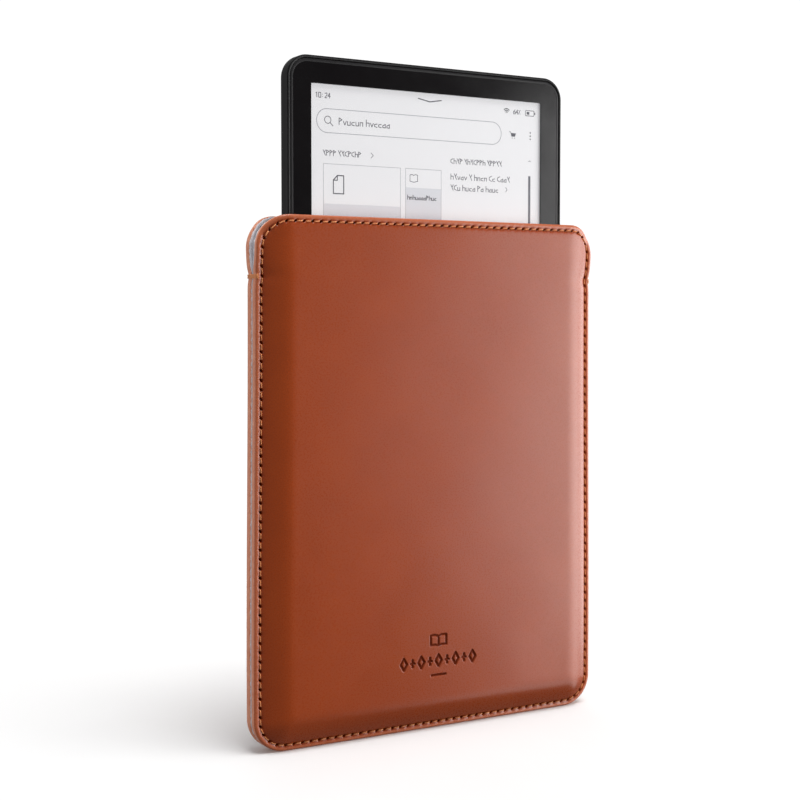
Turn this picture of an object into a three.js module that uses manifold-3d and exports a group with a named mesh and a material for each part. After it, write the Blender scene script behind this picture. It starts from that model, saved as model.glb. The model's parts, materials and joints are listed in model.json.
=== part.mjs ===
// An e-reader half drawn out of its stitched leather sleeve, as a scene graph of separate pieces, in millimetres.
// Frame: +Z up, the sleeve stands on its bottom edge at Z = 0, the screen faces -Y and X runs from left to right.
import * as THREE from "three";
import { mergeVertices } from "three/addons/utils/BufferGeometryUtils.js";
import Module from "manifold-3d";

const wasm = await Module();
wasm.setup();

// ---------------------------------------------------------------- driving dimensions

// The sleeve: two leather panels, each lined with felt, sewn together round the sides and the bottom.
const SLEEVE_HEIGHT = 201.5;
const SLEEVE_HALF_WIDTH = 76.5; // from the bar tacks up
const SLEEVE_FOOT_HALF_WIDTH = 77.8; // near the bottom, a little wider
const FOOT_TOP = 20;
const SLEEVE_CORNER = 12.5;
const LEATHER = 2.3;
const FELT = 1.25;
const GLUE = 0.3; // between leather and felt
const FELT_TRIM = 0.5; // how far the felt stops short of the leather's edge
const SEAM_HALF_GAP = 0.1; // between the two felts where they are sewn together
const SEAM_WIDTH = 2.6; // flat margin outside the pocket
const RISE_WIDTH = 11; // over which the panel swells from the seam to the pocket
const RISE_POWER = 1.8; // it swells fastest at the seam, and then rounds over
const POCKET_HALF_GAP = 4.5;
const TACK_Z = 178.6; // the bar tacks, where the sewn side seams end
const TACK_HALF_HEIGHT = 0.9;
const SLIT_BOTTOM = TACK_Z + 1; // above the tacks the two panels part
const SLIT_HALF_GAP = 1.35;
const SLIT_RISE = 12;
const SIDE_HEIGHTS = [34, 80, 126, TACK_Z - 2, SLIT_BOTTOM, TACK_Z + 3, TACK_Z + 5.5, TACK_Z + 8.2];
const EDGE_BREAK = 0.5;
const THREAD = 0.45;
const STITCH_INSET = 2.4;

// The reader's body.
const READER_WIDTH = 124.6;
const READER_HEIGHT = 174.2;
const READER_DEPTH = 8.1;
const READER_CORNER = 8.5;
const READER_REST_X = -1.1; // it lies a little to one side in the pocket
const READER_REST_Z = 86.8; // its bottom edge, half drawn out
const HALF_WIDTH = READER_WIDTH / 2;
const FRONT_Y = -READER_DEPTH / 2;
const BACK_Y = READER_DEPTH / 2;
const CAVITY_INSET = 1.05; // wall thickness of the rear shell
const LENS_INSET = 1.2;
const FLOOR_Y = 2.75; // inside face of the rear shell
const BACK_ROUND = { start: 0.55, inset: 4.5 }; // where the side curves over into the back

// The screen: 6.8 inches across the diagonal, 3 by 4.
const SCREEN_WIDTH = 104.6;
const SCREEN_HEIGHT = 139.5;
const TOP_BEZEL = 10.2;
const SCREEN_TOP = READER_HEIGHT - TOP_BEZEL;
const SCREEN_BOTTOM = SCREEN_TOP - SCREEN_HEIGHT;

// Layers behind the front face, each as [front Y, back Y].
const LENS_Y = [-4.0, -3.3];
const MASK_Y = [-3.26, -3.16];
const GASKET_Y = [-3.1, -3.02];
const TOUCH_Y = [-3.1, -2.92];
const GUIDE_Y = [-2.87, -2.42];
const PANEL_Y = [-2.37, -1.72];
const FRAME_Y = [-2.97, -1.7];
const PLATE_Y = [-1.65, -1.05];
const BOARD_Y = [0, 0.8];
const BATTERY_Y = [-0.95, 2.45];
const BOARD_FRONT_PART_Y = -0.9; // how far forward the sockets stand

// The bottom edge: the charging port, its light, and the power button.
const PORT_X = 0;
const PORT_Y = 0.1;
const PORT_SIZE = { width: 8.94, height: 3.16, wall: 0.25, mouth: 0.5, back: 8.3 };
const LIGHT_X = 12.5;
const BUTTON_X = 27;
const BUTTON = { width: 12, height: 2.8, proud: 0.35, travel: 0.4, clearance: 0.2 };
const SWITCH_FACE_Z = 3.5;

// Screws: four down each side hold the plate, and two hold the board.
const PLATE_SCREW_X = 57;
const PLATE_SCREW_Z = [26, 74, 122, 165];
const BOARD_SCREW = { x: 48, z: 50 };
const BOSS_RADIUS = 1.7;
const SCREW = { head: 1.15, headHeight: 0.42, shank: 0.6, length: 2.4, bore: 0.8 };
const CORNER_STEPS = 5;

// Inside the case, each piece in the reader's own X and Z.
const ROOM = 0.05; // between pieces that touch
const PORT_ROOM = 0.16; // round the charging port in the wall
const LIGHT = { radius: 0.5, wallRadius: 0.6, from: 0.1, to: 4.2 };
const DISPLAY = { halfWidth: 55, guideHalfWidth: 54.5, below: 1.9, above: 1.8 };
const TOUCH_INSET = 3.7;
const LEDS = { count: 11, span: 100, width: 2.6, height: 1.1, stripHalfWidth: 52 };
const PLATE = { halfWidth: 60.6, bottom: 19, topInset: 1.7, corner: 6.9 };
const PLATE_WINDOWS = [
  { x0: -40, x1: -6, z0: 30, z1: 54, corner: 3 },
  { x0: 6, x1: 40, z0: 30, z1: 54, corner: 3 },
  { x0: -48, x1: -4, z0: 156, z1: 168, corner: 2 }, // lets the antenna's signal out
];
const BATTERY = { halfWidth: 46, z0: 62, z1: 148, corner: 3, tapeInset: 8, tapeY: [2.5, 2.7] };
const BOARD = { halfWidth: 54, bottom: 4.5, top: 58 };
const BOSS_NOTCH = { z0: 20, z1: 32, depth: 2 }; // in the board's sides, round the lowest bosses
const PORT_NOTCH = { halfWidth: 4.75, top: 8.5 };
const SWITCH_NOTCH = { halfWidth: 3.4, top: 6.8 };
const CABLE_RADIUS = 0.45;
const CABLE_Y = 1.7;
const ANTENNA = { x0: -46, x1: -8, z0: 156, z1: 168, y: [2.25, 2.5], tooth: 4, bar: 4 };

// ---------------------------------------------------------------- materials

const finish = (color, roughness, metalness = 0) =>
  new THREE.MeshStandardMaterial({ color, roughness, metalness });
const tanLeather = finish(0x9a4a28, 0.45);
const greyFelt = finish(0xb9b5ba, 0.95);
const orangeThread = finish(0xc26a33, 0.7);
const blackPlastic = finish(0x1c1b1c, 0.5);
const clearLens = finish(0x101012, 0.15);
const blackInk = finish(0x0b0b0c, 0.4);
const darkFoam = finish(0x202024, 0.8);
const clearFilm = finish(0xdfe4e8, 0.1);
const paperWhite = finish(0xdededc, 0.6);
const plateSteel = finish(0x9a9ca0, 0.4, 0.9);
const foilSilver = finish(0xb4b6b8, 0.35, 0.6);
const boardGreen = finish(0x1f4a33, 0.6);
const chipBlack = finish(0x18181a, 0.5);
const flexAmber = finish(0x9c6a24, 0.4);
const springBrass = finish(0xb08d4c, 0.3, 0.9);

// ---------------------------------------------------------------- building solids

// A closed mesh as a manifold-3d solid.
function toSolid(geometry) {
  const bare = geometry.clone();
  for (const name of Object.keys(bare.attributes)) {
    if (name !== "position") bare.deleteAttribute(name);
  }
  const merged = mergeVertices(bare, 1e-4);
  return new wasm.Manifold(
    new wasm.Mesh({
      numProp: 3,
      vertProperties: new Float32Array(merged.attributes.position.array),
      triVerts: new Uint32Array(merged.index.array),
    }),
  );
}

// A manifold-3d solid back as a geometry.
function toGeometry(solid) {
  const mesh = solid.getMesh();
  const points = [];
  for (let i = 0; i < mesh.numVert; i++) {
    const at = i * mesh.numProp;
    points.push(...mesh.vertProperties.subarray(at, at + 3));
  }
  return new THREE.BufferGeometry()
    .setAttribute("position", new THREE.Float32BufferAttribute(points, 3))
    .setIndex([...mesh.triVerts]);
}

const cut = (base, ...tools) =>
  toGeometry(tools.reduce((solid, tool) => solid.subtract(toSolid(tool)), toSolid(base)));
const join = (base, ...extras) =>
  toGeometry(extras.reduce((solid, extra) => solid.add(toSolid(extra)), toSolid(base)));

function box(x0, x1, y0, y1, z0, z1) {
  const made = new THREE.BoxGeometry(x1 - x0, y1 - y0, z1 - z0);
  return made.translate((x0 + x1) / 2, (y0 + y1) / 2, (z0 + z1) / 2);
}

// A cylinder along Y, from y0 to y1.
function post(radius, x, z, y0, y1, sides = 10) {
  const made = new THREE.CylinderGeometry(radius, radius, y1 - y0, sides);
  return made.translate(x, (y0 + y1) / 2, z);
}

// A flat outline drawn in X and Z, given thickness from yFront to yBack.
function plate(shape, [yFront, yBack], curveSegments = 3) {
  const made = new THREE.ExtrudeGeometry(shape, {
    depth: yBack - yFront,
    bevelEnabled: false,
    curveSegments,
  });
  return made.rotateX(Math.PI / 2).translate(0, yBack, 0);
}

// An outline drawn in X and Y, given height from z0 to z1.
function prism(shape, z0, z1, curveSegments = 3) {
  const made = new THREE.ExtrudeGeometry(shape, {
    depth: z1 - z0,
    bevelEnabled: false,
    curveSegments,
  });
  return made.translate(0, 0, z0);
}

// A rectangle with round corners, as a THREE.Shape or THREE.Path.
function roundedOutline(x0, x1, z0, z1, radius, Kind = THREE.Shape) {
  const outline = new Kind();
  outline.moveTo(x0 + radius, z0);
  outline.lineTo(x1 - radius, z0);
  outline.absarc(x1 - radius, z0 + radius, radius, -Math.PI / 2, 0);
  outline.lineTo(x1, z1 - radius);
  outline.absarc(x1 - radius, z1 - radius, radius, 0, Math.PI / 2);
  outline.lineTo(x0 + radius, z1);
  outline.absarc(x0 + radius, z1 - radius, radius, Math.PI / 2, Math.PI);
  outline.lineTo(x0, z0 + radius);
  outline.absarc(x0 + radius, z0 + radius, radius, Math.PI, 1.5 * Math.PI);
  return outline;
}

// A slot with round ends, centred on (x, y).
const slot = (x, y, width, height, Kind = THREE.Shape) =>
  roundedOutline(
    x - width / 2,
    x + width / 2,
    y - height / 2,
    y + height / 2,
    height / 2 - 0.01,
    Kind,
  );

// The points of a round-cornered rectangle in X and Z, counter-clockwise from the bottom left.
// Its flat ends get endSteps extra points each, and its sides one at each height in sideHeights.
function ring(halfWidth, z0, z1, radius, endSteps = 0, sideHeights = []) {
  const corner = (x, z, from) =>
    Array.from({ length: CORNER_STEPS + 1 }, (_, i) => {
      const angle = from + (Math.PI / 2) * (i / CORNER_STEPS);
      return [x + radius * Math.cos(angle), z + radius * Math.sin(angle)];
    });
  const centreX = halfWidth - radius;
  const end = (direction, z) =>
    Array.from({ length: endSteps }, (_, i) => {
      const t = (2 * (i + 1)) / (endSteps + 1) - 1;
      return [direction * t * centreX, z];
    });
  return [
    ...corner(-centreX, z0 + radius, Math.PI),
    ...end(1, z0),
    ...corner(centreX, z0 + radius, 1.5 * Math.PI),
    ...sideHeights.map((z) => [halfWidth, z]),
    ...corner(centreX, z1 - radius, 0),
    ...end(-1, z1),
    ...corner(-centreX, z1 - radius, 0.5 * Math.PI),
    ...sideHeights.toReversed().map((z) => [-halfWidth, z]),
  ];
}

// A solid skinned over rings of equal length. Open stacks are closed by a cap on the first and last
// ring; a looped stack joins its last ring to its first, as a frame does.
function skin(rings, looped = false) {
  const count = rings[0].length;
  const positions = rings.flat(2);
  const faces = [];
  const spans = looped ? rings.length : rings.length - 1;
  for (let i = 0; i < spans; i++) {
    const near = i * count;
    const far = ((i + 1) % rings.length) * count;
    for (let j = 0; j < count; j++) {
      const next = (j + 1) % count;
      faces.push([near + j, far + j, far + next], [near + j, far + next, near + next]);
    }
  }
  if (!looped) {
    const capOf = (points) =>
      THREE.ShapeUtils.triangulateShape(
        points.map(([x, , z]) => new THREE.Vector2(x, z)),
        [],
      );
    const last = (rings.length - 1) * count;
    capOf(rings[0]).forEach((face) => faces.push(face));
    capOf(rings.at(-1)).forEach(([a, b, c]) => faces.push([last + c, last + b, last + a]));
  }
  return new THREE.BufferGeometry()
    .setAttribute("position", new THREE.Float32BufferAttribute(positions, 3))
    .setIndex(faces.flat());
}

// The same solid on the other side of the plane Y = 0.
function mirrored(geometry) {
  const made = geometry.clone().scale(1, -1, 1);
  const index = made.index.array;
  for (let i = 0; i < index.length; i += 3) {
    [index[i + 1], index[i + 2]] = [index[i + 2], index[i + 1]];
  }
  return made;
}

// A mesh, with its pivot at the group's origin.
function piece(name, geometry, material) {
  const made = new THREE.Mesh(geometry, material);
  made.name = name;
  return made;
}

const smooth = (t) => {
  const s = Math.min(1, Math.max(0, t));
  return s * s * (3 - 2 * s);
};

// ---------------------------------------------------------------- the sleeve

// Half the sleeve's width at a height: full at the foot, and drawn in towards the tacks.
function sleeveHalfWidth(z) {
  const drawnIn = smooth((z - FOOT_TOP) / (TACK_Z - FOOT_TOP));
  return SLEEVE_FOOT_HALF_WIDTH + (SLEEVE_HALF_WIDTH - SLEEVE_FOOT_HALF_WIDTH) * drawnIn;
}

// Distance inward from the sewn edges, which are the two sides and the bottom.
function seamDistance(x, z) {
  const overX = Math.abs(x) - (SLEEVE_HALF_WIDTH - SLEEVE_CORNER);
  const underZ = SLEEVE_CORNER - z;
  const reach = overX > 0 && underZ > 0 ? Math.hypot(overX, underZ) : Math.max(overX, underZ);
  return SLEEVE_CORNER - reach;
}

// Half the free gap between the two felts.
function pocketHalfGap(x, z) {
  const closed = 1 - Math.min(1, Math.max(0, (z - SLIT_BOTTOM) / SLIT_RISE));
  const edge = SEAM_HALF_GAP + (SLIT_HALF_GAP - SEAM_HALF_GAP) * (1 - closed * closed);
  const inward = Math.min(1, Math.max(0, (seamDistance(x, z) - SEAM_WIDTH) / RISE_WIDTH));
  const rise = 1 - (1 - inward) ** RISE_POWER;
  return edge + (POCKET_HALF_GAP - edge) * rise;
}

// One closed line round the front panel: inset from its edge, and standing proud of the pocket by offset.
function panelRing(inset, offset) {
  const radius = Math.max(SLEEVE_CORNER - inset, 1);
  const halfWidth = SLEEVE_HALF_WIDTH - inset;
  const outline = ring(halfWidth, inset, SLEEVE_HEIGHT - inset, radius, 2, SIDE_HEIGHTS);
  return outline.map(([x, z]) => [
    (x * sleeveHalfWidth(z)) / SLEEVE_HALF_WIDTH,
    -(pocketHalfGap(x, z) + offset),
    z,
  ]);
}

// A front sheet between two offsets from the pocket, trimmed to an inset from the panel's outline,
// with its outer edge broken by edgeBreak.
function frontSheet(inner, outer, trim, edgeBreak) {
  const insets = [0, 0.15, 0.35, 0.6, 1].map((t) => SEAM_WIDTH + t * RISE_WIDTH);
  const front = insets.toReversed().map((inset) => panelRing(inset, outer));
  const edge = [
    panelRing(trim + edgeBreak, outer),
    panelRing(trim, outer - edgeBreak),
    panelRing(trim, inner),
  ];
  const back = insets.map((inset) => panelRing(inset, inner));
  return skin([...front, ...edge, ...back]);
}

// The line of stitches as one thin closed cord lying on the front panel.
function frontThread() {
  const lift = 0.25;
  const base = FELT + GLUE + LEATHER + lift;
  const half = THREAD / 2;
  const corners = [
    [STITCH_INSET - half, base + THREAD],
    [STITCH_INSET - half, base],
    [STITCH_INSET + half, base],
    [STITCH_INSET + half, base + THREAD],
  ];
  return skin(
    corners.map(([inset, offset]) => panelRing(inset, offset)),
    true,
  );
}

// The thread wrapped over the edge where a side seam ends.
function barTack(side) {
  const gap = 0.14;
  const thread = 0.42;
  const reach = SLEEVE_HALF_WIDTH - 1; // how far in over each panel
  const face = SEAM_HALF_GAP + FELT + GLUE + LEATHER;
  const edge = SLEEVE_HALF_WIDTH;
  const outer = box(
    reach,
    edge + gap + thread,
    -face - gap - thread,
    face + gap + thread,
    TACK_Z - TACK_HALF_HEIGHT,
    TACK_Z + TACK_HALF_HEIGHT,
  );
  const over = 1;
  const inner = box(
    reach - over,
    edge + gap,
    -face - gap,
    face + gap,
    TACK_Z - TACK_HALF_HEIGHT - over,
    TACK_Z + TACK_HALF_HEIGHT + over,
  );
  const wrap = cut(outer, inner);
  return side > 0 ? wrap : wrap.rotateZ(Math.PI);
}

function buildSleeve() {
  const sleeve = new THREE.Group();
  const leatherInner = FELT + GLUE;
  const leather = frontSheet(leatherInner, leatherInner + LEATHER, 0, EDGE_BREAK);
  const felt = frontSheet(0, FELT, FELT_TRIM, 0.1);
  const thread = frontThread();
  sleeve.add(
    piece("sleeve_front_leather", leather, tanLeather),
    piece("sleeve_rear_leather", mirrored(leather), tanLeather),
    piece("sleeve_front_felt", felt, greyFelt),
    piece("sleeve_rear_felt", mirrored(felt), greyFelt),
    piece("sleeve_front_thread", thread, orangeThread),
    piece("sleeve_rear_thread", mirrored(thread), orangeThread),
    piece("sleeve_left_bar_tack", barTack(-1), orangeThread),
    piece("sleeve_right_bar_tack", barTack(1), orangeThread),
  );
  return sleeve;
}

// ---------------------------------------------------------------- the reader's case

// One line round the reader's outline, inset from it, at depth y.
function caseRing(inset, y) {
  const radius = Math.max(READER_CORNER - inset, 1);
  const outline = ring(HALF_WIDTH - inset, inset, READER_HEIGHT - inset, radius);
  return outline.map(([x, z]) => [x, y, z]);
}

function screwPlaces() {
  const sides = [-1, 1];
  const onPlate = sides.flatMap((side) =>
    PLATE_SCREW_Z.map((z) => ({ x: side * PLATE_SCREW_X, z, seatY: PLATE_Y[0] })),
  );
  const onBoard = sides.map((side) => ({
    x: side * BOARD_SCREW.x,
    z: BOARD_SCREW.z,
    seatY: BOARD_Y[0],
  }));
  return { onPlate, onBoard };
}

// The tray that forms the back and the sides, with its bosses and the openings in its bottom wall.
function rearShell() {
  const lipBreak = 0.35;
  const backSteps = 4;
  const backDepth = BACK_Y - BACK_ROUND.start;
  // The cavity's floor, the hollow round its foot, its wall and its mouth, as [inset, Y].
  const cavity = [
    [4.3, FLOOR_Y],
    [2.1, 1.9],
    [CAVITY_INSET, 0.3],
    [CAVITY_INSET, FRONT_Y],
  ];
  const inside = cavity.map(([inset, y]) => caseRing(inset, y));
  const outside = [caseRing(lipBreak, FRONT_Y), caseRing(0, FRONT_Y + lipBreak)];
  for (let i = 0; i <= backSteps; i++) {
    const angle = ((Math.PI / 2) * i) / backSteps;
    const inset = BACK_ROUND.inset * (1 - Math.cos(angle));
    outside.push(caseRing(inset, BACK_ROUND.start + backDepth * Math.sin(angle)));
  }
  const bosses = screwPlaces();
  const floor = FLOOR_Y + 0.3; // each boss starts a little inside the floor
  const posts = [
    ...bosses.onPlate.map(({ x, z }) => post(BOSS_RADIUS, x, z, PLATE_Y[1] + ROOM, floor)),
    ...bosses.onBoard.map(({ x, z }) => post(BOSS_RADIUS, x, z, BOARD_Y[1] + ROOM, floor)),
  ];
  const bores = [...bosses.onPlate, ...bosses.onBoard].map(({ x, z }) =>
    post(SCREW.bore, x, z, -2, FLOOR_Y - 0.2, 8),
  );
  const through = [-1, 2.5];
  const port = prism(
    slot(PORT_X, PORT_Y, PORT_SIZE.width + 2 * PORT_ROOM, PORT_SIZE.height + 2 * PORT_ROOM),
    ...through,
  );
  const button = prism(
    slot(
      BUTTON_X,
      PORT_Y,
      BUTTON.width + 2 * BUTTON.clearance,
      BUTTON.height + 2 * BUTTON.clearance,
    ),
    ...through,
  );
  const light = new THREE.CylinderGeometry(LIGHT.wallRadius, LIGHT.wallRadius, 4, 10)
    .rotateX(Math.PI / 2)
    .translate(LIGHT_X, PORT_Y, 0);
  const tray = join(skin([...inside, ...outside]), ...posts);
  return cut(tray, ...bores, port, button, light);
}

// The flush front lens, with a softened edge.
function frontLens() {
  const soft = 0.7;
  return skin([
    caseRing(LENS_INSET + soft, LENS_Y[0]),
    caseRing(LENS_INSET, LENS_Y[0] + soft / 2),
    caseRing(LENS_INSET, LENS_Y[1]),
  ]);
}

// A ring of rectangular section that follows the case, between two insets.
const caseFrame = (outerInset, innerInset, [y0, y1]) =>
  skin(
    [
      caseRing(outerInset, y0),
      caseRing(outerInset, y1),
      caseRing(innerInset, y1),
      caseRing(innerInset, y0),
    ],
    true,
  );

// The black border printed behind the lens, open where the screen shows.
function borderMask() {
  const inset = LENS_INSET + 0.2;
  const outline = roundedOutline(
    -HALF_WIDTH + inset,
    HALF_WIDTH - inset,
    inset,
    READER_HEIGHT - inset,
    READER_CORNER - inset,
  );
  const halfScreen = SCREEN_WIDTH / 2;
  outline.holes.push(
    roundedOutline(-halfScreen, halfScreen, SCREEN_BOTTOM, SCREEN_TOP, 0.6, THREE.Path),
  );
  return plate(outline, MASK_Y);
}

// ---------------------------------------------------------------- the display

function displayPieces() {
  const bottom = SCREEN_BOTTOM - DISPLAY.below;
  const top = SCREEN_TOP + DISPLAY.above;
  const touch = roundedOutline(
    -HALF_WIDTH + TOUCH_INSET,
    HALF_WIDTH - TOUCH_INSET,
    TOUCH_INSET,
    READER_HEIGHT - TOUCH_INSET,
    READER_CORNER - TOUCH_INSET,
  );
  const guide = roundedOutline(-DISPLAY.guideHalfWidth, DISPLAY.guideHalfWidth, bottom, top, 0.5);
  const panel = box(-DISPLAY.halfWidth, DISPLAY.halfWidth, ...PANEL_Y, bottom, top);
  return [
    piece("touch_sensor", plate(touch, TOUCH_Y), clearFilm),
    piece("light_guide", plate(guide, GUIDE_Y), clearFilm),
    piece("epaper_panel", panel, paperWhite),
    piece("led_strip", ledStrip(bottom), flexAmber),
    piece("display_frame", caseFrame(1.3, 3.5, FRAME_Y), blackPlastic),
    piece("mid_plate", midPlate(), plateSteel),
  ];
}

// The row of light-emitting diodes that shines into the bottom edge of the light guide.
function ledStrip(guideBottom) {
  const { count, span, width, height, stripHalfWidth } = LEDS;
  const top = guideBottom - 0.2;
  const overlap = 0.3; // each diode stands on the strip
  const stripBack = GUIDE_Y[1];
  const stripFront = stripBack - 0.13;
  const stripTop = top - height + overlap;
  const strip = box(-stripHalfWidth, stripHalfWidth, stripFront, stripBack, stripTop - 1.4, stripTop);
  const diodes = Array.from({ length: count }, (_, i) => {
    const x = -span / 2 + (span * i) / (count - 1);
    return box(x - width / 2, x + width / 2, GUIDE_Y[0], stripFront + 0.05, top - height, top);
  });
  return join(strip, ...diodes);
}

// The metal plate that backs the display and takes the screws, with windows that lighten it.
function midPlate() {
  const { halfWidth, bottom, topInset, corner } = PLATE;
  const outline = roundedOutline(-halfWidth, halfWidth, bottom, READER_HEIGHT - topInset, corner);
  for (const { x, z } of screwPlaces().onPlate) {
    outline.holes.push(screwHole(x, z));
  }
  for (const window of PLATE_WINDOWS) {
    const { x0, x1, z0, z1 } = window;
    outline.holes.push(roundedOutline(x0, x1, z0, z1, window.corner, THREE.Path));
  }
  return plate(outline, PLATE_Y, 4);
}

function screwHole(x, z) {
  const hole = new THREE.Path();
  hole.absarc(x, z, SCREW.shank + 0.2, 0, 2 * Math.PI, true);
  return hole;
}

// ---------------------------------------------------------------- battery, board and wiring

function batteryPieces() {
  const { halfWidth, z0, z1, corner, tapeInset, tapeY } = BATTERY;
  const tapeHalf = halfWidth - tapeInset;
  const pouch = plate(roundedOutline(-halfWidth, halfWidth, z0, z1, corner), BATTERY_Y);
  const foldedSeam = box(-halfWidth + 2, halfWidth - 2, 0.4, 1.2, z1 - 1, z1 + 3);
  const tape = roundedOutline(-tapeHalf, tapeHalf, z0 + tapeInset, z1 - tapeInset, 2);
  const socketTop = z0 - 7.8;
  const leadPath = [
    [0.9, z0 - 0.1],
    [0.9, z0 - 1.4],
    [-0.45, z0 - 3.2],
    [-0.45, socketTop + 0.2],
  ];
  const lead = ribbon(-40, -33, leadPath, 0.6);
  const socket = box(-41, -32, BOARD_FRONT_PART_Y, -ROOM, socketTop - 3, socketTop);
  return [
    piece("battery_cell", join(pouch, foldedSeam), foilSilver),
    piece("battery_tape", plate(tape, tapeY), darkFoam),
    piece("battery_lead", lead, flexAmber),
    piece("battery_socket", socket, paperWhite),
  ];
}

// A flat cable from x0 to x1 that follows a path of [y, z] points.
function ribbon(x0, x1, path, thickness) {
  const points = path.map(([y, z]) => new THREE.Vector2(y, z));
  const half = thickness / 2;
  const sides = [[], []];
  points.forEach((point, i) => {
    const before = points[Math.max(i - 1, 0)];
    const after = points[Math.min(i + 1, points.length - 1)];
    const along = after.clone().sub(before).normalize();
    const normal = new THREE.Vector2(-along.y, along.x).multiplyScalar(half);
    sides[0].push(point.clone().add(normal));
    sides[1].unshift(point.clone().sub(normal));
  });
  const made = new THREE.ExtrudeGeometry(new THREE.Shape([...sides[0], ...sides[1]]), {
    depth: x1 - x0,
    bevelEnabled: false,
  });
  // The outline's own X and Y become Y and Z, and its depth runs along X.
  const turn = new THREE.Matrix4().makeBasis(
    new THREE.Vector3(0, 1, 0),
    new THREE.Vector3(0, 0, 1),
    new THREE.Vector3(1, 0, 0),
  );
  return made.applyMatrix4(turn).translate(x0, 0, 0);
}

// A path that leaves a layer at yFront, turns under the plate, and comes up in front of the board.
function foldedPath(yFront, zStart, zFold, zEnd) {
  const yBack = -0.45;
  const centre = (yFront + yBack) / 2;
  const radius = (yBack - yFront) / 2;
  const steps = 8;
  const path = [[yFront, zStart]];
  for (let i = 0; i <= steps; i++) {
    const angle = Math.PI + (Math.PI * i) / steps;
    path.push([centre + radius * Math.cos(angle), zFold + radius * Math.sin(angle)]);
  }
  path.push([yBack, zEnd]);
  return path;
}

// Each ribbon leaves its layer at the bottom of the display and is plugged into a socket on the board.
function ribbonPieces() {
  const thin = 0.12;
  const overhang = 1; // of each socket, to either side of its ribbon
  const ribbons = [
    { name: "display", x0: -14, x1: 22, yFront: -2, from: 22.4, fold: 15, socket: 24 },
    { name: "touch", x0: -40, x1: -28, yFront: -2.8, from: 17, fold: 9.5, socket: 16 },
    { name: "light", x0: 36, x1: 44, yFront: -2.62, from: 19.9, fold: 12, socket: 20 },
  ];
  return ribbons.flatMap(({ name, x0, x1, yFront, from, fold, socket }) => {
    const path = foldedPath(yFront, from, fold, socket);
    const plug = box(
      x0 - overhang,
      x1 + overhang,
      BOARD_FRONT_PART_Y,
      -ROOM,
      socket + 0.1,
      socket + 2.6,
    );
    return [
      piece(name + "_ribbon", ribbon(x0, x1, path, thin), flexAmber),
      piece(name + "_socket", plug, paperWhite),
    ];
  });
}

// The board, notched for the charging port, the switch and the lowest screw bosses.
function mainBoard() {
  const { halfWidth, bottom, top } = BOARD;
  const edgeNotches = [
    { at: PORT_X, ...PORT_NOTCH },
    { at: BUTTON_X, ...SWITCH_NOTCH },
  ];
  const outline = new THREE.Shape();
  outline.moveTo(-halfWidth, bottom);
  for (const notch of edgeNotches) {
    outline.lineTo(notch.at - notch.halfWidth, bottom);
    outline.lineTo(notch.at - notch.halfWidth, notch.top);
    outline.lineTo(notch.at + notch.halfWidth, notch.top);
    outline.lineTo(notch.at + notch.halfWidth, bottom);
  }
  outline.lineTo(halfWidth, bottom);
  const { z0, z1, depth } = BOSS_NOTCH;
  const sideNotch = [
    [halfWidth, z0],
    [halfWidth - depth, z0 + depth],
    [halfWidth - depth, z1 - depth],
    [halfWidth, z1],
  ];
  sideNotch.forEach(([x, z]) => outline.lineTo(x, z));
  outline.lineTo(halfWidth, top);
  outline.lineTo(-halfWidth, top);
  sideNotch.toReversed().forEach(([x, z]) => outline.lineTo(-x, z));
  outline.closePath();
  for (const { x, z } of screwPlaces().onBoard) {
    outline.holes.push(screwHole(x, z));
  }
  return plate(outline, BOARD_Y, 4);
}

// A pressed metal can that covers the processor, open towards the board.
function shieldCan(x0, x1, z0, z1) {
  const sheet = 0.2;
  const base = BOARD_Y[1] + ROOM;
  const top = FLOOR_Y - 0.15;
  return cut(
    box(x0, x1, base, top, z0, z1),
    box(x0 + sheet, x1 - sheet, base - 1, top - sheet, z0 + sheet, z1 - sheet),
  );
}

function boardPieces() {
  const back = BOARD_Y[1] + ROOM;
  const chip = (x, z, width, height, thickness) =>
    box(x - width / 2, x + width / 2, back, back + thickness, z - height / 2, z + height / 2);
  return [
    piece("main_board", mainBoard(), boardGreen),
    piece("processor", chip(20, 38, 13, 13, 1.1), chipBlack),
    piece("processor_shield", shieldCan(8, 42, 26, 54), foilSilver),
    piece("memory_chip", chip(34, 42, 8, 12, 0.9), chipBlack),
    piece("storage_chip", chip(-2, 40, 11.5, 13, 1), chipBlack),
    piece("power_chip", chip(-20, 22, 6, 6, 0.9), chipBlack),
    piece("wireless_module", chip(-30, 44, 13, 12, 1.5), foilSilver),
    piece("hall_sensor", chip(50, 14, 3, 2, 0.9), chipBlack),
  ];
}

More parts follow.
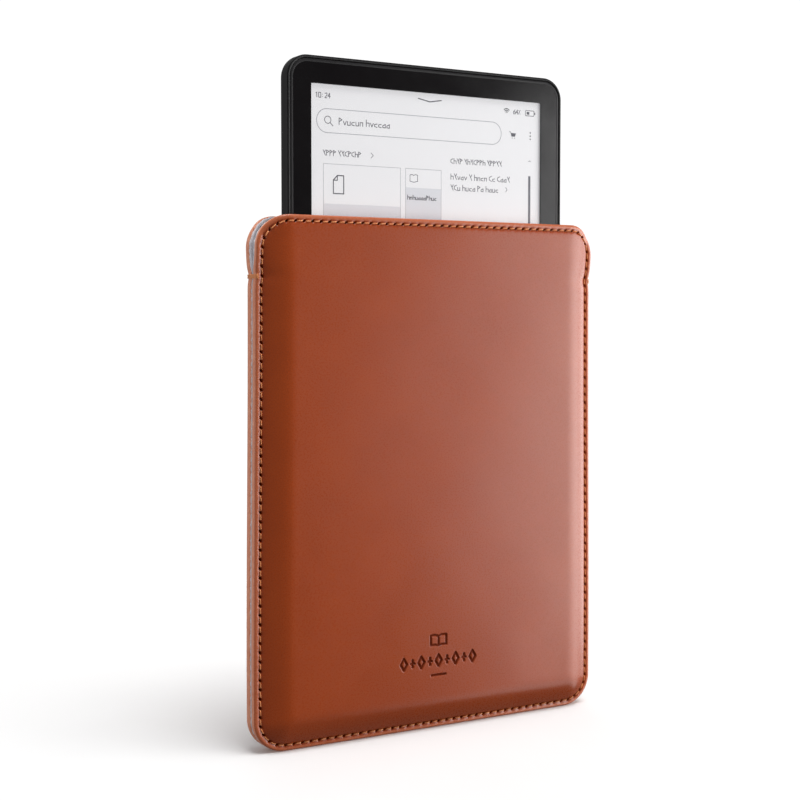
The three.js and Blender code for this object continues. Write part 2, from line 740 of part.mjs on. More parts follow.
// The antenna, a comb of sprung brass, and the cable that joins it to the wireless module.
function antennaPieces() {
  const { x0, x1, z0, z1, y, tooth, bar } = ANTENNA;
  const middle = (x0 + x1) / 2 - 1;
  const comb = new THREE.Shape();
  comb.moveTo(x0, z0);
  comb.lineTo(x1, z0);
  comb.lineTo(x1, z1);
  comb.lineTo(x1 - tooth, z1);
  comb.lineTo(x1 - tooth, z0 + bar);
  comb.lineTo(middle, z0 + bar);
  comb.lineTo(middle, z1);
  comb.lineTo(middle - tooth, z1);
  comb.lineTo(middle - tooth, z0 + bar);
  comb.lineTo(x0, z0 + bar);
  comb.closePath();
  const sides = 6;
  const section = new THREE.Shape(
    Array.from({ length: sides }, (_, i) => {
      const angle = (2 * Math.PI * i) / sides;
      return new THREE.Vector2(CABLE_RADIUS * Math.cos(angle), CABLE_RADIUS * Math.sin(angle));
    }),
  );
  const route = new THREE.CatmullRomCurve3(
    [
      [-37, 47],
      [-41, 50.5],
      [-46, 55],
      [-50, 60],
      [-51, 68],
      [-51, 100],
      [-51, 140],
      [-50.5, 152],
      [-47, 157.5],
    ].map(([x, z]) => new THREE.Vector3(x, CABLE_Y, z)),
  );
  const cable = new THREE.ExtrudeGeometry(section, { steps: 20, extrudePath: route });
  return [
    piece("wifi_antenna", plate(comb, y), springBrass),
    piece("antenna_cable", cable, chipBlack),
  ];
}

// ---------------------------------------------------------------- port, light, button and screws

function portPieces() {
  const { width, height, wall, mouth, back } = PORT_SIZE;
  const outline = slot(PORT_X, PORT_Y, width, height);
  outline.holes.push(slot(PORT_X, PORT_Y, width - 2 * wall, height - 2 * wall, THREE.Path));
  const tongueHalf = { x: 3.35, y: 0.35 };
  const tongueRoot = prism(
    slot(PORT_X, PORT_Y, width - 4 * wall, height - 4 * wall),
    back - 1.8,
    back - 0.3,
  );
  const tongue = box(
    PORT_X - tongueHalf.x,
    PORT_X + tongueHalf.x,
    PORT_Y - tongueHalf.y,
    PORT_Y + tongueHalf.y,
    mouth + 1.2,
    back - 0.5,
  );
  const gasketZ = [3.65, 4.3];
  const gasket = slot(PORT_X, PORT_Y, width + 3, height + 1.3);
  gasket.holes.push(slot(PORT_X, PORT_Y, width + 0.2, height + 0.2, THREE.Path));
  return [
    piece("usb_shell", prism(outline, mouth, back), plateSteel),
    piece("usb_tongue", join(tongue, tongueRoot), chipBlack),
    piece("usb_gasket", prism(gasket, ...gasketZ), darkFoam),
  ];
}

// The power button, which travels up into the case, and the switch it presses.
function buttonPieces() {
  const flangeFrom = 2.05;
  const flangeTo = 2.55;
  const cap = prism(slot(0, 0, BUTTON.width, BUTTON.height), -BUTTON.proud, flangeFrom + 0.1);
  const flange = prism(slot(0, 0, BUTTON.width + 2, BUTTON.height), flangeFrom, flangeTo);
  const nibTop = SWITCH_FACE_Z - BUTTON.travel - 0.05;
  const nib = box(-1, 1, -0.8, 0.8, flangeTo - 0.1, nibTop);
  const button = piece("power_button", join(cap, flange, nib), blackPlastic);
  button.position.set(BUTTON_X, PORT_Y, 0);
  const body = box(-3, 3, -1, 1.2, SWITCH_FACE_Z + 0.5, SWITCH_FACE_Z + 2.9);
  const plunger = box(-1.2, 1.2, -0.6, 0.8, SWITCH_FACE_Z, SWITCH_FACE_Z + 0.6);
  const powerSwitch = piece("power_switch", join(body, plunger), foilSilver);
  powerSwitch.position.set(BUTTON_X, 0, 0);
  return [button, powerSwitch];
}

// The light pipe that carries the charging light to the bottom edge.
function chargeLight() {
  const { radius, from, to } = LIGHT;
  const rod = new THREE.CylinderGeometry(radius, radius, to - from, 10);
  return rod.rotateX(Math.PI / 2).translate(LIGHT_X, PORT_Y, (from + to) / 2);
}

// A pan-head screw along Y, with a driver recess, its head standing on the face at Y = 0.
function screw() {
  const { head, headHeight, shank, length } = SCREW;
  const recess = 0.45;
  const seat = -0.03;
  const profile = [
    [0, seat - headHeight + 0.25],
    [recess, seat - headHeight],
    [head - 0.2, seat - headHeight],
    [head, seat - headHeight + 0.2],
    [head, seat],
    [shank, seat],
    [shank - 0.1, length],
    [0, length],
  ].map(([radius, y]) => new THREE.Vector2(radius, y));
  return new THREE.LatheGeometry(profile, 8);
}

function screwPieces() {
  const { onPlate, onBoard } = screwPlaces();
  const named = [
    ...onPlate.map((place, i) => ["plate_screw_" + (i + 1), place]),
    ...onBoard.map((place, i) => ["board_screw_" + (i + 1), place]),
  ];
  return named.map(([name, { x, z, seatY }]) => {
    const made = piece(name, screw(), plateSteel);
    made.position.set(x, seatY, z);
    return made;
  });
}

function buildReader() {
  const reader = new THREE.Group();
  reader.add(
    piece("rear_shell", rearShell(), blackPlastic),
    piece("front_lens", frontLens(), clearLens),
    piece("border_mask", borderMask(), blackInk),
    piece("lens_gasket", caseFrame(1.5, 3.3, GASKET_Y), darkFoam),
    piece("charge_light", chargeLight(), clearFilm),
    ...displayPieces(),
    ...batteryPieces(),
    ...ribbonPieces(),
    ...boardPieces(),
    ...antennaPieces(),
    ...portPieces(),
    ...buttonPieces(),
    ...screwPieces(),
  );
  reader.position.set(READER_REST_X, 0, READER_REST_Z);
  return reader;
}

const model = new THREE.Group();
model.add(buildSleeve(), buildReader());

export default model;
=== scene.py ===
import json
import math

import bpy
import numpy as np
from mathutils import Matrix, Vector
from mathutils.geometry import delaunay_2d_cdt


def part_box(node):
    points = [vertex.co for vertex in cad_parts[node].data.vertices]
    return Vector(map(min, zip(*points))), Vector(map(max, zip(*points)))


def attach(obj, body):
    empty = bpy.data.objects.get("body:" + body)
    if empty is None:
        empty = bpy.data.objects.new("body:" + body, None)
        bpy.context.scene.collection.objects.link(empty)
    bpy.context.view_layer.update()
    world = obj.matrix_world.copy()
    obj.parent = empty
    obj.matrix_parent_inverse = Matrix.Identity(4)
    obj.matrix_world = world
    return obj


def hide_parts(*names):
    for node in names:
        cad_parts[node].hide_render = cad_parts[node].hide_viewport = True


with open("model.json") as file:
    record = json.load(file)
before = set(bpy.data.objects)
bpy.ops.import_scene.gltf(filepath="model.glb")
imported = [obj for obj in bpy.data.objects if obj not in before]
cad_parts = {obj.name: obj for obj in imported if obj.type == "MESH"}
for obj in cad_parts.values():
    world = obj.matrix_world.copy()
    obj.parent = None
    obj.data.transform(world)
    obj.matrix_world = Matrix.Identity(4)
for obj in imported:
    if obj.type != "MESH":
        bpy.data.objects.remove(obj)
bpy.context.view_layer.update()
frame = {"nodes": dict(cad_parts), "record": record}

# An e-reader half drawn out of a stitched leather sleeve, seen from the front left.
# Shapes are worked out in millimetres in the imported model's frame and stored in metres.

MM = 0.001


def node_box(name):
    """A CAD node's lowest and highest corners, in millimetres."""
    low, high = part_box(name)
    return np.array(low) / MM, np.array(high) / MM


# ---- dimensions, in millimetres

LEATHER_LOW, LEATHER_HIGH = node_box("sleeve_front_leather")
FELT_LOW, FELT_HIGH = node_box("sleeve_front_felt")
TACK_LOW, TACK_HIGH = node_box("sleeve_left_bar_tack")
SHELL_LOW, SHELL_HIGH = node_box("rear_shell")
LENS_LOW, LENS_HIGH = node_box("front_lens")
MASK_BACK = node_box("border_mask")[1][1]

# The sleeve's panels, as the CAD model has them.
HEIGHT = LEATHER_HIGH[2]
FOOT_HALF_WIDTH = LEATHER_HIGH[0]
SLEEVE_HALF_WIDTH = FOOT_HALF_WIDTH - 1.3
FOOT_TOP = 20
SLEEVE_CORNER = 12.5
SEAM_HALF_GAP = -FELT_HIGH[1]
LINED = -LEATHER_HIGH[1] - SEAM_HALF_GAP  # from the pocket to the inside of the leather
FELT = LINED - 0.3
POCKET_HALF_GAP = -FELT_LOW[1] - FELT
LEATHER = -LEATHER_LOW[1] - POCKET_HALF_GAP - LINED
OUTER = LINED + LEATHER  # from the pocket to the outside of the leather
SEAM_WIDTH = 2.6
RISE_WIDTH = 11
RISE_POWER = 1.8
TACK_Z = (TACK_LOW[2] + TACK_HIGH[2]) / 2
TACK_NIP = 0.45
TACK_NIP_REACH = 2.4
SLIT_BOTTOM = TACK_Z + 1
SLIT_HALF_GAP = 1.35
SLIT_RISE = 12

# The panels' slackness: a crown across the whole width, and three waves.
CROWN = 0.38
BROAD_WAVE, MIDDLE_WAVE, SMALL_WAVE = 0.08, 0.03, 0.012
REAR_PHASE = 2.1

# The felt: where it is trimmed, and how the seam squeezes it.
FELT_TRIM = 0.35
FELT_CLEARANCE = 0.01
FELT_FIELD_INSET = 5.5
SEAM_SQUEEZE = 0.8
SQUEEZE_INSET = 3
SQUEEZE_FADE = 3.5
SQUEEZE_FADE_UP = 7
MET_FADE_UP = 3

# Stitching: each stitch runs from one slanted hole to the next, in a shallow channel.
STITCH_INSET = 2.4
STITCHES = 192
CHANNEL_DEPTH = 0.2
CHANNEL_HALF_WIDTH = 0.7
HOLE_DEPTH = 1.15
HOLE_HALF_LENGTH = 0.72
HOLE_HALF_WIDTH = 0.4
HOLE_FLOOR = 0.45  # the share of a hole that is fully deep
HOLE_WALL = 0.75
HOLE_SLANT = math.radians(33)
PUCKER_DEPTH = 0.12
PUCKER_REACH = 2.4

# The thread; where along a stitch something happens is a share of the stitch.
PLY_RADIUS = 0.16
PLY_TURN_RADIUS = 0.125
PLY_TWIST_LENGTH = 1.25
STITCH_STEPS = 17
STITCH_END = 0.09
STITCH_SLANT = 0.3
STITCH_LIFT = 0.14
STITCH_ARCH = 0.05
DIVE_START = 0.235
DIVE_LENGTH = 0.13
DIVE_DEPTH = 1.25
TACK_TURNS = 4
TACK_SPACING = 0.4
TACK_LIFT = 0.12
TACK_CORNER = 0.75
TACK_LEAN = 0.12
TACK_THREAD_RADIUS = 0.21

# The emblem pressed into the front panel.
EMBLEM_X = -0.4
EMBLEM_DEPTH = 0.5
PRESSED_TONE = 0.75
ICON_Z = 36
ICON_FOOT, ICON_TOP = -2.1, 1.7
ORNAMENT_Z = 28
ORNAMENT_PITCH = 3.9
ORNAMENT_SIZE = (2.7, 4.6)
BAR_Z = 22.3
BAR_LENGTH = 6.2
BOOK_STROKE, ORNAMENT_STROKE, BAR_STROKE = 0.36, 0.42, 0.4  # half widths
PRESS_START = -0.1
PRESS_WALL = 0.32

# The reader's case and its screen.
READER_X = (SHELL_LOW[0] + SHELL_HIGH[0]) / 2
READER_Z = SHELL_LOW[2]
READER_HALF_WIDTH = (SHELL_HIGH[0] - SHELL_LOW[0]) / 2
READER_CORNER = 8.5
LEAST_CORNER = 0.6
FRONT_Y = SHELL_LOW[1]
BACK_Y = SHELL_HIGH[1]
BACK_ROUND_Y = 0.55
BACK_ROUND_INSET = 4.5
LENS_INSET = READER_HALF_WIDTH - (LENS_HIGH[0] - LENS_LOW[0]) / 2
LENS_SOFT_EDGE = 0.7
SCREEN_HALF_WIDTH = 52.3
SCREEN_TOP = SHELL_HIGH[2] - 10.2
SCREEN_BOTTOM = SCREEN_TOP - 139.5
SCREEN_LEFT = READER_X - SCREEN_HALF_WIDTH
OPENING_ROOM = {"usb_shell": 0.16, "power_button": 0.2, "charge_light": 0.1}  # all round
OPENING_LEVELS = (READER_Z - 2, READER_Z + 2.6)
SLOT_LEAST_REACH = 0.02  # keeps the two ends of a slot apart
BUTTON_FLANGE = 1
INK_THICKNESS = 0.006


# ---- making objects

TUBE_END = 0.45  # how wide a tube's ends are, as a share of its width
TUBE_SIDEWAYS = (0.21, 0.93, 0.31)  # a direction that no tube runs along


def smooth(t):
    """Eases from 0 to 1 as t goes from 0 to 1."""
    s = np.clip(t, 0, 1)
    return s * s * (3 - 2 * s)


def place(piece, body, slot, *nodes):
    """Makes the piece ride on a body and stand for CAD nodes; the slot is not used."""
    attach(piece, body)
    if nodes:
        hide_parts(*nodes)


class Form:
    """Points, faces and materials gathered into one mesh."""

    def __init__(self):
        self.points = []
        self.faces = []
        self.marks = []
        self.values = []

    def add(self, points, value=0.0):
        """Adds points and returns their numbers."""
        first = len(self.points)
        self.points.extend(np.asarray(points, float).tolist())
        self.values.extend(np.broadcast_to(value, len(points)).tolist())
        return np.arange(first, len(self.points))

    def face(self, corners, mark=0):
        self.faces.append([int(i) for i in corners])
        self.marks.append(mark)

    def bridge(self, a, b, mark=0):
        """Joins two closed rings of equal length."""
        for i in range(len(a)):
            j = (i + 1) % len(a)
            self.face((a[i], a[j], b[j], b[i]), mark)

    def stack(self, rings, mark=0):
        """Joins each ring to the next."""
        for a, b in zip(rings, rings[1:]):
            self.bridge(a, b, mark)

    def prism(self, outline, front_y, back_y):
        """A flat piece between two depths; the outline runs anticlockwise seen from the front."""
        front, back = (self.add([(x, y, z) for x, z in outline]) for y in (front_y, back_y))
        self.face(front)
        self.face(back[::-1])
        self.bridge(back, front)

    def narrow(self, fine, coarse, mark=0, order=1):
        """Joins a fine closed ring to a coarse one whose length divides it; order -1 turns it over."""
        step = len(fine) // len(coarse)
        for i in range(len(coarse)):
            j = (i + 1) % len(coarse)
            arc = [fine[(i * step + k) % len(fine)] for k in range(step + 1)]
            self.face([*arc, coarse[j], coarse[i]][::order], mark)

    def fill(self, ids, boundary, inner, mark=0, order=1):
        """Faces over the inside of an outline; ids are the numbers of its points, then the inner ones."""
        for triangle in fill(boundary, inner):
            self.face(ids[list(triangle[::order])], mark)

    def close(self, rings):
        """Joins the rings of a solid, and closes its two ends."""
        self.stack(rings)
        self.face(rings[0][::-1])
        self.face(rings[-1])

    def tube(self, path, radius, sides=6):
        """A tube along a path, with its ends narrowed."""
        path = np.asarray(path, float)
        along = np.gradient(path, axis=0)
        along /= np.linalg.norm(along, axis=1)[:, None]
        side = np.cross(along, TUBE_SIDEWAYS)
        side /= np.linalg.norm(side, axis=1)[:, None]
        up = np.cross(side, along)
        turn = np.linspace(0, 2 * math.pi, sides, endpoint=False)
        reach = np.full(len(path), radius)
        reach[[0, -1]] *= TUBE_END
        rings = [
            self.add(p + r * (np.outer(np.cos(turn), s) + np.outer(np.sin(turn), u)))
            for p, r, s, u in zip(path, reach, side, up)
        ]
        self.close(rings)

    def flip(self):
        self.faces = [face[::-1] for face in self.faces]

    def build(self, name, materials, value_name=None, is_smooth=True, is_front=True):
        """The finished object. A value name stores the points' values; the rear ones are mirrored."""
        if not is_front:
            self.points = [[x, -y, z] for x, y, z in self.points]
            self.flip()
        mesh = bpy.data.meshes.new(name)
        mesh.from_pydata((np.array(self.points) * MM).tolist(), [], self.faces)
        mesh.validate()
        for material in materials:
            mesh.materials.append(material)
        mesh.polygons.foreach_set("material_index", self.marks)
        if value_name:
            attribute = mesh.attributes.new(value_name, "FLOAT", "POINT")
            attribute.data.foreach_set("value", np.array(self.values, np.float32))
        mesh.polygons.foreach_set("use_smooth", [is_smooth] * len(mesh.polygons))
        mesh.update()
        made = bpy.data.objects.new(name, mesh)
        bpy.context.scene.collection.objects.link(made)
        return made


def fill(boundary, inner, edges=()):
    """Triangles over the inside of a closed outline, using all the inner points and edges too."""
    flat = [Vector(p) for p in (*boundary, *inner)]
    made = delaunay_2d_cdt(flat, edges, [list(range(len(boundary)))], 1, 1e-7)
    source = [min(origin) for origin in made[3]]
    triangles = []
    for corners in made[2]:
        a, b, c = (source[i] for i in corners)
        area = (flat[b] - flat[a]).cross(flat[c] - flat[a])
        triangles.append((a, b, c) if area > 0 else (a, c, b))
    return triangles


def round_box(x0, x1, low, high, radius, steps):
    """A box's outline with round corners: anticlockwise from the low corner at x1."""
    left, right, bottom, top = x0 + radius, x1 - radius, low + radius, high - radius
    outline = []
    for k, (x, z) in enumerate([(right, bottom), (right, top), (left, top), (left, bottom)]):
        turn = (k - 1) * math.pi / 2
        for angle in np.linspace(turn, turn + math.pi / 2, steps):
            outline.append((x + radius * math.cos(angle), z + radius * math.sin(angle)))
    return outline


# ---- materials

MIX_A, MIX_B, MIX_RESULT = 6, 7, 2  # the Mix node's sockets for colours


class Nodes:
    """A node tree, built up one node at a time."""

    def __init__(self, tree):
        self.tree = tree

    def feed(self, socket, value):
        """Gives a socket a plain value, or links another node's output to it."""
        if isinstance(value, bpy.types.NodeSocket):
            self.tree.links.new(value, socket)
        else:
            socket.default_value = (*value, 1) if socket.type == "RGBA" else value

    def node(self, kind, inputs, **settings):
        """Adds a node, feeds its inputs, and returns its outputs."""
        made = self.tree.nodes.new("ShaderNode" + kind)
        for key, value in settings.items():
            setattr(made, key, value)
        for key, value in inputs.items():
            self.feed(made.inputs[key], value)
        return made.outputs

    def between(self, source, low, high, from_low=0.3, from_high=0.7):
        """A number from low to high, as the source goes from from_low to from_high."""
        limits = {"From Min": from_low, "From Max": from_high, "To Min": low, "To Max": high}
        return self.node("MapRange", {"Value": source, **limits})["Result"]


class Shader(Nodes):
    """The nodes of a material."""

    def __init__(self, name, **inputs):
        self.material = bpy.data.materials.new(name)
        self.material.use_nodes = True
        super().__init__(self.material.node_tree)
        self.give(**inputs)

    def give(self, **inputs):
        """Sets or links the surface's inputs."""
        for key, value in inputs.items():
            surface = self.tree.nodes["Principled BSDF"]
            self.feed(surface.inputs[key.replace("_", " ")], value)

    def place(self, stretch=(1, 1, 1)):
        """Coordinates in the object's own frame, in millimetres."""
        inputs = {"Vector": self.node("TexCoord", {})["Object"], "Scale": [s / MM for s in stretch]}
        return self.node("Mapping", inputs)["Vector"]

    def noise(self, scale, detail=3, roughness=0.5, stretch=(1, 1, 1)):
        """Noise with about scale bumps to a millimetre."""
        inputs = {"Scale": scale, "Detail": detail, "Roughness": roughness}
        return self.node("TexNoise", {"Vector": self.place(stretch), **inputs})["Fac"]

    def cells(self, scale, feature):
        inputs = {"Vector": self.place(), "Scale": scale}
        return self.node("TexVoronoi", inputs, feature=feature)["Distance"]

    def math(self, operation, a, b):
        return self.node("Math", {0: a, 1: b}, operation=operation)[0]

    def ramp(self, source, *stops):
        """A colour that follows the source through (position, colour) stops."""
        made = self.tree.nodes.new("ShaderNodeValToRGB")
        elements = made.color_ramp.elements
        while len(elements) < len(stops):
            elements.new(0.5)
        for element, (position, colour) in zip(elements, stops):
            element.position = position
            element.color = (*colour, 1)
        self.feed(made.inputs["Fac"], source)
        return made.outputs["Color"]

    def mix(self, factor, a, b):
        """The colour a, and more of b as the factor goes from 0 to 1."""
        return self.node("Mix", {"Factor": factor, MIX_A: a, MIX_B: b}, data_type="RGBA")[MIX_RESULT]

    def two_tone(self, source, share, first, second):
        """Colours the surface, with up to a share of the second colour where the source is high."""
        self.give(Base_Color=self.mix(self.between(source, 0, share), first, second))

    def point_value(self, name):
        return self.node("Attribute", {}, attribute_name=name)["Fac"]

    def bump(self, *layers):
        """Bumps from (height source, depth in millimetres) layers, each on top of the one before."""
        below = {}
        for source, depth in layers:
            inputs = {"Strength": 1, "Distance": depth * MM, "Height": source, **below}
            below = {"Normal": self.node("Bump", inputs)["Normal"]}
        self.give(**below)


def linear(red, green, blue):
    """A colour given as 0 to 255 on screen, as the shader's linear values."""
    return tuple(
        c / 12.92 if c <= 0.04045 else ((c + 0.055) / 1.055) ** 2.4
        for c in (red / 255, green / 255, blue / 255)
    )


def tan_leather():
    """Waxed tan leather with a fine grain. Its tone darkens it where it is 1: painted shade in the stitch
    holes, and the pressed leather's own colour in the emblem. Where the tone is -1, a pale sheen is
    painted on.
    """
    shader = Shader("tan_leather")
    mottle = shader.noise(0.045, detail=4, roughness=0.6)
    speckle = shader.noise(1.6, detail=4, roughness=0.65)
    grain = shader.cells(1.9, "SMOOTH_F1")
    fine_grain = shader.noise(4.5, detail=3)
    broad = shader.ramp(
        mottle, (0.3, linear(154, 60, 7)), (0.5, linear(158, 62, 8)), (0.72, linear(162, 65, 10))
    )
    grained = shader.mix(shader.between(speckle, 0.0, 0.3), broad, linear(142, 50, 5))
    tone = shader.point_value("tone")
    # Below a tone of 0 the colour is painted paler, a sheen standing in for the light caught at the
    # margin and the rounded edge.
    painted_sheen = shader.mix(shader.math("MULTIPLY", tone, -1.0), grained, linear(212, 122, 84))
    # Where the tone is 1 the colour is darkened: painted shade in the stitch holes, and the pressed
    # leather's own colour in the emblem.
    shader.give(Base_Color=shader.mix(tone, painted_sheen, linear(84, 23, 7)))
    shader.give(Roughness=shader.between(speckle, 0.25, 0.31))
    shader.give(Specular_IOR_Level=shader.between(tone, 0.43, 0.06))
    shader.bump((grain, 0.009), (fine_grain, 0.006))
    return shader.material


def cut_leather():
    """The cut and polished edge of the leather, where its pale fibres show."""
    shader = Shader("leather_edge")
    fibres = shader.noise(1.3, detail=5, roughness=0.7, stretch=(1, 2.5, 0.35))
    blotches = shader.noise(0.25, detail=2)
    base = shader.ramp(fibres, (0.32, linear(212, 112, 80)), (0.7, linear(252, 192, 160)))
    shader.two_tone(blotches, 0.4, base, linear(220, 140, 106))
    shader.give(Roughness=shader.between(fibres, 0.5, 0.72))
    shader.bump((fibres, 0.12))
    return shader.material


def grey_felt():
    """Light grey wool felt, matted and slightly lilac, with shade painted dark bluish grey where its tone
    is 1, on its side facing into the pocket.
    """
    shader = Shader("grey_felt", Roughness=0.95, Sheen_Weight=0.35, Sheen_Roughness=0.6)
    fibres = shader.noise(2.2, detail=6, roughness=0.75)
    strands = shader.noise(1.1, detail=5, roughness=0.7, stretch=(1, 1, 0.3))
    matted = shader.math("ADD", fibres, strands)
    edge = shader.ramp(
        shader.between(matted, 0, 1, 0.75, 1.3),
        (0.0, linear(190, 184, 190)),
        (0.55, linear(232, 226, 232)),
        (1.0, linear(252, 248, 252)),
    )
    # The tone mixes in painted shade.
    shader.give(Base_Color=shader.mix(shader.point_value("tone"), edge, linear(104, 106, 122)))
    shader.bump((fibres, 0.25), (strands, 0.2))
    return shader.material


def orange_thread():
    """Waxed two-ply thread in light orange."""
    shader = Shader("orange_thread", Roughness=0.55, Sheen_Weight=0.2)
    fibres = shader.noise(7, detail=4, roughness=0.7)
    wear = shader.noise(0.3, detail=3)
    base = shader.ramp(fibres, (0.3, linear(222, 126, 58)), (0.7, linear(250, 180, 118)))
    shader.two_tone(wear, 0.5, base, linear(214, 118, 54))
    shader.bump((fibres, 0.05))
    return shader.material


def moulded(name, colour, roughness, texture=0.012, gloss=0.3):
    """Fine-textured moulding, with faint smudges in its gloss."""
    shader = Shader(name, Specular_IOR_Level=gloss)
    grain = shader.noise(9, detail=2)
    smudges = shader.noise(0.06, detail=4, roughness=0.6)
    shader.two_tone(grain, 0.5, colour, tuple(min(1, 1.25 * c + 0.002) for c in colour))
    shader.give(Roughness=shader.between(smudges, roughness - 0.04, roughness + 0.05))
    shader.bump((grain, texture))
    return shader.material


def brushed(name, colour, roughness, stretch=(0.2, 1, 6)):
    """Brushed sheet metal."""
    shader = Shader(name, Metallic=1.0)
    brushing = shader.noise(2.5, detail=4, roughness=0.7, stretch=stretch)
    shader.two_tone(brushing, 0.6, colour, tuple(0.8 * c for c in colour))
    shader.give(Roughness=shader.between(brushing, roughness - 0.08, roughness + 0.08))
    shader.bump((brushing, 0.01))
    return shader.material


def green_board():
    """Green solder mask, with copper tracks showing faintly through it."""
    shader = Shader("green_board", Roughness=0.4)
    tracks = shader.cells(0.5, "DISTANCE_TO_EDGE")
    pattern = shader.between(tracks, 1, 0, 0.02, 0.1)
    shader.give(Base_Color=shader.mix(pattern, linear(16, 78, 46), linear(44, 120, 74)))
    shader.bump((pattern, 0.03))
    return shader.material


def clear_layer(name, colour, roughness, alpha):
    """A clear layer, of which only a trace shows."""
    shader = Shader(name, Roughness=roughness, Alpha=alpha)
    shader.two_tone(shader.noise(0.05, detail=4), 0.3, colour, (1.0, 1.0, 1.0))
    return shader.material


def lit_paper():
    """The matte page of the electronic paper, evenly lit from its edge."""
    glow = linear(238, 238, 242)
    shader = Shader("paper_page", Roughness=0.6, Emission_Color=glow, Emission_Strength=0.27)
    dots = shader.noise(6, detail=2)
    shader.give(Base_Color=shader.ramp(dots, (0.3, linear(202, 201, 202)), (0.7, linear(212, 211, 212))))
    shader.bump((dots, 0.006))
    return shader.material


def grey_ink(name, colour):
    """Grey drawn by the electronic paper, made up of fine dark and light dots."""
    shader = Shader(name, Roughness=0.65)
    pale = tuple(min(1, 1.2 * c + 0.01) for c in colour)
    shader.two_tone(shader.noise(7, detail=1), 0.7, colour, pale)
    return shader.material


LEATHER_SKIN = tan_leather()
LEATHER_EDGE = cut_leather()
GREY_FELT = grey_felt()
ORANGE_THREAD = orange_thread()
SOFT_BLACK = moulded("soft_black_plastic", linear(20, 19, 20), 0.5)
LENS_BLACK = moulded("lens_black", linear(6, 3, 5), 0.16, texture=0.002, gloss=0.21)
LENS_RIM = moulded("lens_rim", linear(22, 20, 22), 0.4, texture=0.004)
LENS_CLEAR = clear_layer("lens_window", linear(235, 236, 240), 0.25, 0.05)
PAPER = lit_paper()

SLOT_MATERIALS = {
    "leather": LEATHER_SKIN,
    "felt": GREY_FELT,
    "thread": ORANGE_THREAD,
    "shell_plastic": SOFT_BLACK,
    "lens": LENS_BLACK,
    "black_ink": moulded("border_ink", linear(20, 20, 21), 0.45),
    "foam": moulded("dark_foam", linear(52, 52, 56), 0.85, texture=0.08),
    "clear_plastic": clear_layer("clear_film", linear(220, 226, 232), 0.12, 0.3),
    "epaper": PAPER,
    "white_plastic": moulded("ivory_plastic", linear(226, 222, 208), 0.45),
    "steel": brushed("brushed_steel", linear(190, 192, 195), 0.35),
    "foil": brushed("silver_foil", linear(205, 206, 208), 0.3, stretch=(1, 1, 1)),
    "board": green_board(),
    "chip": moulded("chip_black", linear(38, 38, 41), 0.55),
    "flex": moulded("amber_flex", linear(190, 122, 44), 0.35),
    "brass": brushed("sprung_brass", linear(206, 168, 98), 0.3),
}


def finish_cad_nodes():
    """Gives every CAD node the procedural material of its slot."""
    for row in frame["record"]["subparts"]:
        mesh = frame["nodes"][row["node"]].data
        mesh.materials.clear()
        mesh.materials.append(SLOT_MATERIALS[row["material_slot"]])


# ---- the sleeve's form


def half_width(z):
    """Half the sleeve's width: full at the foot, drawn in towards the tacks and nipped by them."""
    drawn_in = smooth((z - FOOT_TOP) / (TACK_Z - FOOT_TOP))
    nip = TACK_NIP * np.exp(-(((z - TACK_Z) / TACK_NIP_REACH) ** 2))
    return FOOT_HALF_WIDTH + (SLEEVE_HALF_WIDTH - FOOT_HALF_WIDTH) * drawn_in - nip


def inside_distance(x, over_z):
    """How far inside the rounded edges, from how far past the corners' centres in Z."""
    over_x = np.abs(x) - (SLEEVE_HALF_WIDTH - SLEEVE_CORNER)
    in_corner = (over_x > 0) & (over_z > 0)
    reach = np.where(in_corner, np.hypot(over_x, over_z), np.maximum(over_x, over_z))
    return SLEEVE_CORNER - reach


def seam_distance(x, z):
    """How far inside the sewn edges, which are the sides and the foot."""
    return inside_distance(x, SLEEVE_CORNER - z)


def pocket_rise(x, z):
    """How far the pocket has risen, from 0 at the seam to 1: steepest at the seam, then rounding over."""
    t = np.clip((seam_distance(x, z) - SEAM_WIDTH) / RISE_WIDTH, 0, 1)
    return 1 - (1 - t) ** RISE_POWER


def pocket_half_gap(x, z):
    """Half the free gap between the two felts."""
    closed = 1 - np.clip((z - SLIT_BOTTOM) / SLIT_RISE, 0, 1)
    edge = SEAM_HALF_GAP + (SLIT_HALF_GAP - SEAM_HALF_GAP) * (1 - closed * closed)
    return edge + (POCKET_HALF_GAP - edge) * pocket_rise(x, z)


def slackness(x, z, phase):
    """How far the leather stands off its plain form: its crown, and gentle waves inside the seam."""
    waves = (
        BROAD_WAVE * np.sin(x / 21 + 1.3 + phase) * np.sin(z / 33 + 0.4)
        + MIDDLE_WAVE * np.sin(x / 11 - z / 17 + phase)
        + SMALL_WAVE * np.sin(x / 6.5 + z / 8 + 2 * phase)
    )
    crown = CROWN * np.clip(1 - (x / SLEEVE_HALF_WIDTH) ** 2, 0, 1)
    return crown + waves * smooth((seam_distance(x, z) - SEAM_WIDTH) / RISE_WIDTH)


def squeeze(flat):
    """How much the stitches squeeze the felt: only near a sewn edge, and not above the tacks."""
    near = 1 - smooth((seam_distance(flat[:, 0], flat[:, 1]) - SQUEEZE_INSET) / SQUEEZE_FADE)
    below_tack = 1 - smooth((flat[:, 1] - TACK_Z) / SQUEEZE_FADE_UP)
    return SEAM_SQUEEZE * near * below_tack


